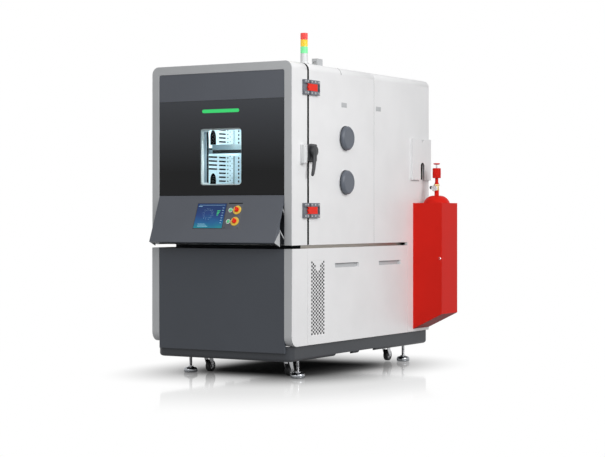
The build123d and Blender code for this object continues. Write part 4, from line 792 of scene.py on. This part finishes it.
# %% Switch plate
BUTTON_X = 96
piece("switch_plate", slab(69, 181, -206, -33, 9.4, 10.5, 0.4), FLAP, "console_slate", "console")
piece("switch_slot", slab(73, 174, -45, -38, 9.8, 10.8, 0.3), FLAP, "seal", "console",
      look=painted_shade_and_black)
piece("plate_screws", screws([(171, -199, 10.5), (76, -199, 10.5)], 3.2, 1.4), FLAP,
      "black_paint", "console")
for word, u in SWITCH_ROWS:
    cap = turned([(0, 14.2), (13.4, 14.2), (13.8, 15), (13.4, 20), (12, 21.5), (0, 21.5)], 40)
    grip = slab(-5.2, 5.2, -14.5, 14.5, 20, 34, 2.6, 3)
    knob = shifted(joined([cap, grip]), SWITCH_X, -u)
    piece("switch_grip_" + word, knob, FLAP, "red_plastic", "knob_" + word,
          ["switch_knob_" + word])
    collar = shifted(ring(27.5, 14.2, 13.6, 15.4, 0.9), SWITCH_X, -u)
    piece("switch_collar_" + word, collar, FLAP, "red_plastic", "console", look=yellow)
    dome = turned([(0, 15.6), (4, 15.3), (8, 14.2), (10.3, 12.2), (10.6, 4), (0, 4)], 40)
    piece("push_dome_" + word, shifted(dome, BUTTON_X, -u), FLAP, "green_plastic",
          "push_" + word, ["button_" + word])
    bezel = shifted(ring(15, 11.3, 10.0, 12.2, 0.8), BUTTON_X, -u)
    piece("push_bezel_" + word, bezel, FLAP, "chrome_steel", "console")

# %% [markdown]
# ## Levelling feet
#
# A machine foot is a threaded stud in a round steel pad with a small rubber collar, and a lock
# nut under the frame. It is turned in one outline for each material. The thread is a zigzag in
# the outline, which reads as a thread without the cost of a true helix.

# %% Feet
FEET = [(x, y) for y in (256, 1635) for x in (-393, 393)]
CREST, ROOT, PITCH, THREAD_LOW, TURNS = 9.9, 8.9, 2.6, 42, 27
thread = [(0, 38), (CREST, 38)]
for turn_no in range(TURNS):
    z = THREAD_LOW + turn_no * PITCH
    thread += [(CREST, z), (ROOT, z + PITCH / 2)]
thread += [(CREST, 113), (CREST, 156), (0, 156)]
rim = [
    (0, 0), (38, 0), (42, 3), (44, 9), (44, 17), (42.5, 24), (38, 30), (28, 34.5), (17, 36),
    (0, 36),
]
cone = [(0, 35.8), (15, 35.8), (14, 38), (11, 39.5), (0, 39.5)]
washer = [(0, 36), (18, 36), (18.5, 37), (18.5, 40), (17, 41.5), (0, 41.5)]
for name, made, slot, look in (
    ("foot_rims", lambda: turned(rim, 56), "chrome_steel", pad_chrome),
    ("foot_cones", lambda: turned(cone, 56), "tyre_black", None),
    ("foot_studs", lambda: joined([turned(thread, 28), turned(washer, 40)]), "chrome_steel", None),
    ("foot_nuts", lambda: shifted(hexagon(15.8, 9.6, 1.0), z=111), "zinc_steel", None),
):
    parts = [shifted(made(), x, y) for x, y in FEET]
    piece(name, parts, UP, slot, "cabinet", ["levelling_feet"], look)

# %% [markdown]
# ## Casters
#
# The wheels keep their CAD shape. Their hubs are zinc plated and only the tread is black,
# so the faces near the axle get a second material.

# %% Hubs
HUB_RADIUS = 0.0225
for word in ("front_left", "front_right", "rear_left", "rear_right"):
    lo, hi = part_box("wheel_" + word)
    repaint(
        "wheel_" + word, looks["zinc_steel"],
        lambda p, m=(lo + hi) / 2: math.hypot(p.y - m.y, p.z - m.z) < HUB_RADIUS,
        Matrix.Identity(4),
    )

# %% [markdown]
# ## Cylinder valve
#
# The cylinder's brass valve has a hexagon, a side outlet with a black cap, and a gauge with a
# pale dial. Over it stands a red actuator with turned grooves. The release knob moves by
# itself, so it stays a piece of its own, on its own body.

# %% Valve, gauge, actuator
ext_lo, ext_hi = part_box("extinguisher")
OUTLET_Z, GAUGE_Z = 1172, 1166
middle = (ext_lo + ext_hi) / 2
EXT = axes((middle.x, middle.y, 0), (1, 0, 0), (0, 1, 0), (0, 0, 1))
stem = turned(
    [(0, 1152), (15.5, 1152), (17, 1154), (17, 1162), (15.5, 1164), (15.5, 1180), (0, 1180)], 40
)
outlet = laid(turned([(0, 0), (9, 0), (9, 26), (10.5, 27), (10.5, 34), (0, 34)], 32), "Y", -90)
tee = laid(turned([(0, 0), (7, 0), (7, 24), (9, 24), (9, 29), (0, 29)], 32), "X", 90)
brass = [
    shifted(hexagon(19.5, 13, 1.2), z=1188), stem, shifted(outlet, z=OUTLET_Z),
    shifted(tee, z=GAUGE_Z),
]
cap = turned([(0, 33), (10, 33), (11, 34.5), (11, 46), (9.5, 48), (0, 48)], 32)
case = turned([
    (0, 28), (18, 28), (20, 30), (20, 41), (18.5, 42), (17.3, 41.2), (17.3, 39.5), (0, 39.5),
])
needle = laid(slab(-0.8, 0.8, -3, 12, 40.0, 40.6, 0.2, 1), "Z", 40)
drum = turned([
    (6.3, 1278), (6.3, 1302), (24, 1302), (27, 1300), (28, 1297), (28, 1291), (26.8, 1290),
    (26.8, 1288), (28, 1287), (28, 1252), (26.8, 1251), (26.8, 1249), (28, 1248), (28, 1239),
    (25, 1235), (11, 1235), (11, 1206), (14, 1204), (14, 1195), (0, 1195),
])
for name, part, slot in (
    ("valve_brass", brass, "brass_valve"),
    ("valve_cap", shifted(laid(cap, "Y", -90), z=OUTLET_Z), "black_paint"),
    ("gauge_case", shifted(laid(case, "X", 90), z=GAUGE_Z), "chrome_steel"),
    ("gauge_dial", shifted(laid(disc(17.3, 39.2, 40.0), "X", 90), z=GAUGE_Z), "white_plastic"),
    ("gauge_needle", shifted(laid(needle, "X", 90), z=GAUGE_Z), "black_paint"),
    ("actuator_drum", drum, "bin_red"),
):
    piece(name, part, EXT, slot, "cylinder", ["cylinder_valve"])
knob = turned([
    (0, 1325), (12, 1325), (21, 1327.5), (22, 1330), (22, 1332.5), (20.5, 1335), (0, 1335),
])
piece("release_cap", knob, EXT, "bin_red", "actuator", ["release_knob"])
piece("release_rod", disc(5.8, 1288, 1325.5, 28), EXT, "chrome_steel", "actuator",
      ["release_knob"])

# %% [markdown]
# ## Bin catch
#
# The bin's front has a small bright button catch near its outer edge, and a folded lip runs
# round its open top, so that the sheet is stiff and nobody is cut.

# %% Catch, lip
bin_lo, bin_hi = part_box("extinguisher_bin")
BIN = axes((bin_lo.x, bin_hi.y, 0), (1, 0, 0), (0, -1, 0), (0, 0, 1))
LIP_Z = (1058, 1067.5)
lip_parts = [
    slab(1, 213, 3.2, 7.2, *LIP_Z, 1.0), slab(1, 213, 228.8, 232.8, *LIP_Z, 1.0),
    slab(206.8, 210.8, 3, 233, *LIP_Z, 1.0), slab(3.2, 7.2, 3, 233, *LIP_Z, 1.0),
]
piece("bin_lip", lip_parts, BIN, "bin_red", "cabinet")
catch = laid(turned([(0, 0), (8.5, 0), (8.5, 4), (6.5, 5.8), (0, 5.8)], 32), "X", 90)
piece("bin_catch", shifted(catch, 705, 1564, 699.5), UP, "chrome_steel", "cabinet")

# %% [markdown]
# ## Hinges, rear louvres, seams
#
# The back and the left side are plain but not bare: hinge leaves are screwed on, the rear
# sheet has louvres whose blades slope inwards, and the roof sheets meet in a narrow dark joint.
# The rear sheet's screws are countersunk: nothing stands out of the back.

# %% Hinge screws
HINGES = (947, 1340, 1750)
for word, body, columns in (("door", "door", (136, 160)), ("body", "cabinet", (208, 232))):
    heads = [(-y, z + dz, 4) for z in HINGES for dz in (-34, 0, 34) for y in columns]
    piece("hinge_screws_" + word, screws(heads, 4.6, 2.2), LEFT, "zinc_steel", body)

# %% Louvre blades
LOUVRES, LOUVRE_LOW, LOUVRE_PITCH, LOUVRE_X, LOUVRE_HALF = 14, 300, 26, 190, 149
blades = []
for row in range(LOUVRES):
    z = LOUVRE_LOW + row * LOUVRE_PITCH
    for x in (-LOUVRE_X, LOUVRE_X):
        section = [(-9, z - 0.5), (-7.8, z - 0.5), (-0.1, z + 9.8), (-1.3, z + 9.8)]
        blades.append(plate(section, x - LOUVRE_HALF, x + LOUVRE_HALF))
ALONG_X = REAR @ Matrix(((0, 0, 1, 0), (0, 1, 0, 0), (1, 0, 0, 0), (0, 0, 0, 1)))
piece("louvre_hoods", blades, ALONG_X, "white", "cabinet")
rear_heads = [(x, z, -0.1) for x in (-470, 470) for z in (240, 640, 1040, 1440, 1820)]
piece("rear_screws", screws(rear_heads, 6.5, 0.15), REAR, "zinc_steel", "cabinet")


# %% Rubber seam, sheet joints
def band(proud, width, low):
    """An arch along the body's outline: up one side, round the top corners, down the other."""
    half, top, radius = BODY_HALF + proud, BODY_HIGH + proud, CORNER + proud
    outline = []
    for inset, order in ((0.0, 1), (width, -1)):
        run = [(half - inset, low)]
        run += arc(half - radius, top - radius, radius - inset, 0, 90, 8)
        run += [(-x, y) for x, y in reversed(run)]
        outline += run[::order]
    return outline


SEAM_LOW, ROOF_LOW = 809, 1858
SEAM, SHELL_JOINT, ROOF_JOINT = (-198.5, -179.3), (-1018.9, -1017.1), (-592.0, -588.5)
seam = plate(band(0.6, 8.0, SEAM_LOW), *SEAM, 0.4)
piece("door_seal_lip", seam, FRONT, "seal", "door", look=seal_black_and_hole_shade)
joints = [
    plate(band(-0.8, 2.0, SEAM_LOW), *SHELL_JOINT), plate(band(0.3, 0.8, ROOF_LOW), *ROOF_JOINT),
]
piece("sheet_joints", joints, FRONT, "seal", "cabinet", look=painted_shade_and_black)
# A black patch on the wall behind the hood's slot is painted shadow, so the slot reads dark.
shade = slab(1645.5, 1700.5, 1226, 1337, 0.1, 0.8, 0)
piece("hood_slot_shadow", shade, SIDE, "seal", "cabinet", look=painted_shade_and_black)
# Two flat grey plates on the side wall stand in for two small recesses; their grey is painted
# shade.
recess_shades = [slab(y, y + 66, 1655, 1684, 0.0, 0.9, 0.4) for y in (594, 1042)]
piece("recess_shade_plates", recess_shades, SIDE, "grey", "cabinet")

# %% [markdown]
# ## Behind the window
#
# What shows through the window is the slotted duct cover, a folded rail with hook holes, the
# shelf's front lip and the door's inner seal. The cover is a thin bright sheet with dark
# openings laid on it, and the rail's hook holes are dark discs: at this size a hole and its
# dark inside read the same, so the shade inside each hole is painted black.

# %% Duct cover, rail, shelf lip
INSIDE = axes((MID_X - 0.3, FRONT_Y, 0), (0, 1, 0), (0, 0, 1), (1, 0, 0))
rack_lo, rack_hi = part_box("shelf_rack")
LOW, HIGH = rack_lo.z * 1000 + 2, rack_hi.z * 1000 - 2
DARK, DARK_TOP = 1.0, 1.3
cover = slab(194, 604, LOW, HIGH, 0.1, DARK, 0)
piece("duct_cover", cover, INSIDE, "stainless", "cabinet", look=chamber_steel)


def slot_face(y0, y1, z, height):
    """A flat dark slot with round ends, a hair above the sheet."""
    radius = height / 2
    ends = arc(y1 - radius, z, radius, -90, 90, 6) + arc(y0 + radius, z, radius, 90, 270, 6)
    return plate(ends, DARK, DARK_TOP)


SLOT_PITCH, NARROW_PITCH, ENDS, MIDDLE_SLOTS = 25, 31, 40, (1262, 1420)
slot_rows = int((HIGH - LOW - ENDS) / SLOT_PITCH)
openings = []
for row in range(slot_rows):
    z = LOW + 36.5 + SLOT_PITCH * row
    openings += [slot_face(434, 513, z, 10), slot_face(529, 543, z, 9)]
    if MIDDLE_SLOTS[0] < z < MIDDLE_SLOTS[1]:
        openings.append(slot_face(319, 414, z, 10))
for row in range(int((HIGH - LOW - ENDS) / NARROW_PITCH)):
    z = LOW + 26 + NARROW_PITCH * row
    openings += [slot_face(558.5, 567.5, z, 9), slot_face(583, 589, z + 15.5, 6)]
for low in (1159, 1430):
    arch = [(336, low), (401, low)] + arc(368.5, low + 48, 32.5, 0, 180, 12, 45)
    openings.append(plate(arch, DARK, DARK_TOP))
# A thin black strip along the rail's left edge is painted shadow.
openings.append(slab(603.5, 606.5, LOW, HIGH, 0.1, DARK_TOP, 0))
piece("duct_openings", openings, INSIDE, "seal", "cabinet", look=seal_black_and_hole_shade)
rail = slab(607, 701, LOW, HIGH, 0.1, 7.2, 1.5)
piece("rail_face", rail, INSIDE, "stainless", "cabinet", look=chamber_steel)
hooks = [
    shifted(disc(7.8, 7.1, 7.5, 20), 654, LOW + 38 + SLOT_PITCH * row) for row in range(slot_rows)
]
piece("rail_hooks", hooks, INSIDE, "seal", "cabinet", look=seal_black_and_hole_shade)
SHELF_X, TUNNEL_X = (-213, 290), -142.8
shelf = slab(*SHELF_X, 232, 235.6, 1393, 1425, 1.2)
piece("shelf_lip", shelf, UP, "stainless", "cabinet", look=chamber_steel)
shadow = slab(*SHELF_X, 234.4, 235.8, 1370, 1391, 0)
piece("shelf_shadow", shadow, UP, "black_paint", "cabinet")
pane_lo, pane_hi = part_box("window_glass")
sill, lintel = pane_lo.z * 1000 + 70, pane_hi.z * 1000 - 70
strip = slab(TUNNEL_X, -141.4, 69, 84.6, sill, lintel, 0.4)
piece("tunnel_seal", strip, UP, "seal", "door", look=seal_black_and_hole_shade)
# The grey strip on the window tunnel's wall is painted shade.
wall = slab(TUNNEL_X, -142.0, 38, 68, sill, lintel, 0.2)
piece("tunnel_painted_shade", wall, UP, "stainless", "door", look=tunnel_shadow_grey)

# %% [markdown]
# ## Lamp in the chamber
#
# A tube lamp under the chamber's roof lights the steel inside, which is why the window is the
# brightest thing on the front. The tube is an emitter for the eye, and an area lamp just
# below it does the lighting, because a small emitter alone would be grainy.

# %% Lamp tube
lamp_lo, lamp_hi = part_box("chamber_lamp")
middle = (lamp_lo + lamp_hi) / 2
LAMP = axes((middle.x, middle.y, lamp_lo.z), (0, 1, 0), (0, 0, 1), (1, 0, 0))
tube = turned([(0, -120), (7, -120), (8, -118), (8, 118), (7, 120), (0, 120)], 24)
piece("lamp_tube", shifted(tube, 0, -4), LAMP, "lens", "cabinet", look=lamp_glow)

# %% [markdown]
# ## Floor
#
# The machine stands on a polished studio floor. Under the machine and close round it the
# floor is a dark grey surface: its darkness is painted shadow, and it also holds the real
# shadow. A little further out it turns to plain white, measured from the machine's footprint
# in the floor's own coordinates. The polish is a second layer: it starts a little way out and
# fades slowly, so that the mirror image reaches towards the viewer.

# %% Studio floor
SHADOW_FADE, MIRROR_START, MIRROR_END, MIRROR = (0.12, 1.15), (0.25, 0.6), (1.0, 2.4), 0.24


def seen_rays(tree):
    """1 for the eye, a reflection or a view through glass; 0 where light is gathered."""
    rays = added(tree, "LightPath").outputs
    seen = rays["Is Camera Ray"]
    for kind in ("Is Glossy Ray", "Is Transmission Ray"):
        seen = added(tree, "Math", {0: seen, 1: rays[kind]}, operation="MAXIMUM").outputs["Value"]
    return seen


def studio_floor():
    """A polished floor, dark grey near the footprint as painted shadow, that turns to plain white
    with distance from it.
    """
    look, tree, shader = new_look("studio_floor")
    tree.nodes.remove(shader)

    def number(operation, *values):
        """One arithmetic step between sockets or numbers."""
        node = added(tree, "Math", dict(enumerate(values)), operation=operation)
        return node.outputs["Value"]

    def vector(operation, *values):
        """One vector step; values after the first are plain triples."""
        node = added(tree, "VectorMath", dict(enumerate(values)), operation=operation)
        return node.outputs["Value" if operation == "LENGTH" else "Vector"]

    def fade(source, start, end):
        """A smooth step from 0 at the start to 1 at the end."""
        ends = {"Value": source, "From Min": start, "From Max": end}
        return added(tree, "MapRange", ends, interpolation_type="SMOOTHSTEP").outputs["Result"]

    # The floor's dark grey near the machine is painted shadow; the real shadow falls on it too.
    ground_and_painted_shadow = added(tree, "BsdfDiffuse", {"Color": (0.16, 0.16, 0.16, 1.0)})
    plain = added(tree, "Emission")
    polish = added(tree, "BsdfGlossy", {"Color": (1, 1, 1, 1), "Roughness": 0.07})
    place = added(tree, "TexCoord").outputs["Object"]
    side = vector("ABSOLUTE", vector("ADD", place, (-MID_X, 0.0, 0.0)))
    past = vector("MAXIMUM", vector("SUBTRACT", side, (0.25, 0.25, 0.0)), (0.0, 0.0, 0.0))
    away = vector("LENGTH", vector("MULTIPLY", past, (1.5, 1.0, 0.0)))
    base = added(tree, "MixShader", {
        "Fac": number("MULTIPLY", fade(away, *SHADOW_FADE), seen_rays(tree)),
        1: ground_and_painted_shadow.outputs["BSDF"], 2: plain.outputs["Emission"],
    })
    mirror = number("MULTIPLY_ADD", fade(away, *MIRROR_END), -MIRROR, MIRROR)
    whole = added(tree, "MixShader", {
        "Fac": number("MULTIPLY", mirror, fade(away, *MIRROR_START)),
        1: base.outputs["Shader"], 2: polish.outputs["BSDF"],
    })
    feed(tree, tree.nodes["Material Output"], {"Surface": whole.outputs["Shader"]})
    return look


bm = bmesh.new()
bmesh.ops.create_grid(bm, x_segments=1, y_segments=1, size=30)
bmesh.ops.translate(bm, vec=(0, 0, -0.5 * MM), verts=bm.verts)
mesh = bpy.data.meshes.new("studio_floor")
bm.to_mesh(mesh)
bm.free()
mesh.materials.append(studio_floor())
floor = bpy.data.objects.new("studio_floor", mesh)
scene.collection.objects.link(floor)
print("floor ready")

# %% [markdown]
# ## Studio light
#
# A white surround fills every side evenly. One large soft lamp from the right makes the side
# wall the brightest face, as in the photograph, and a weaker one from the left keeps the
# front readable. Small lamps light the console side and the chamber. The surround is plain
# white where the eye or a reflection meets it, and dimmer as a light source, so that pale
# sheet keeps its shading.

# %% World
world = bpy.data.worlds.new("studio")
scene.world = world
world.use_nodes = True
tree = world.node_tree
level = added(tree, "MapRange", {"Value": seen_rays(tree), "To Min": 0.44, "To Max": 1})
feed(tree, tree.nodes["Background"], {
    "Color": (1, 1, 1, 1), "Strength": level.outputs["Result"],
})
print("surround ready")


# %% Lamps
def soft_lamp(name, place, target, size, power):
    """A rectangular area lamp that looks at the target."""
    data = bpy.data.lights.new(name, "AREA")
    data.shape = "RECTANGLE"
    data.size, data.size_y = size
    data.energy = power
    lamp = bpy.data.objects.new(name, data)
    lamp.location = place
    lamp.rotation_euler = (Vector(target) - Vector(place)).to_track_quat("-Z", "Y").to_euler()
    scene.collection.objects.link(lamp)


soft_lamp("key", (5.4, -1.3, 3.3), (0, 0, 1), (3, 3), 180)
soft_lamp("fill", (-1, -6, 3), (0, -0.8, 1), (3, 2.5), 45)
soft_lamp("near", (MID_X + 1.9, FRONT_Y - 2.0, 2.3), (MID_X + 0.3, FRONT_Y, 1.2), (1.2, 1.2), 16)
soft_lamp(
    "chamber", (MID_X + 0.05, FRONT_Y + 0.212, 1.68), (MID_X - 0.25, FRONT_Y + 0.42, 1.3),
    (0.4, 0.04), 9,
)
soft_lamp(
    "chamber_low", (MID_X + 0.12, FRONT_Y + 0.26, 1.33), (MID_X - 0.3, FRONT_Y + 0.5, 1.13),
    (0.3, 0.08), 1.7,
)
print("lamps ready")

# %% [markdown]
# ## Camera
#
# The photograph was taken from a little to the right of the front, with a long lens held
# level at about a metre, so upright edges stay upright. The small shift moves the frame
# without tilting the camera.

# %% Place the camera
data = bpy.data.cameras.new("camera")
data.lens = 99.43
data.sensor_width = 36
data.shift_x = -0.00876
data.shift_y = -0.02215
data.clip_end = 100
camera = bpy.data.objects.new("camera", data)
camera.location = (MID_X + 5.607, FRONT_Y - 8.407, 0.987)
camera.rotation_euler = (math.radians(90), 0, math.radians(30.7))
scene.collection.objects.link(camera)
scene.camera = camera
scene.view_settings.view_transform = "Standard"
print("camera ready")
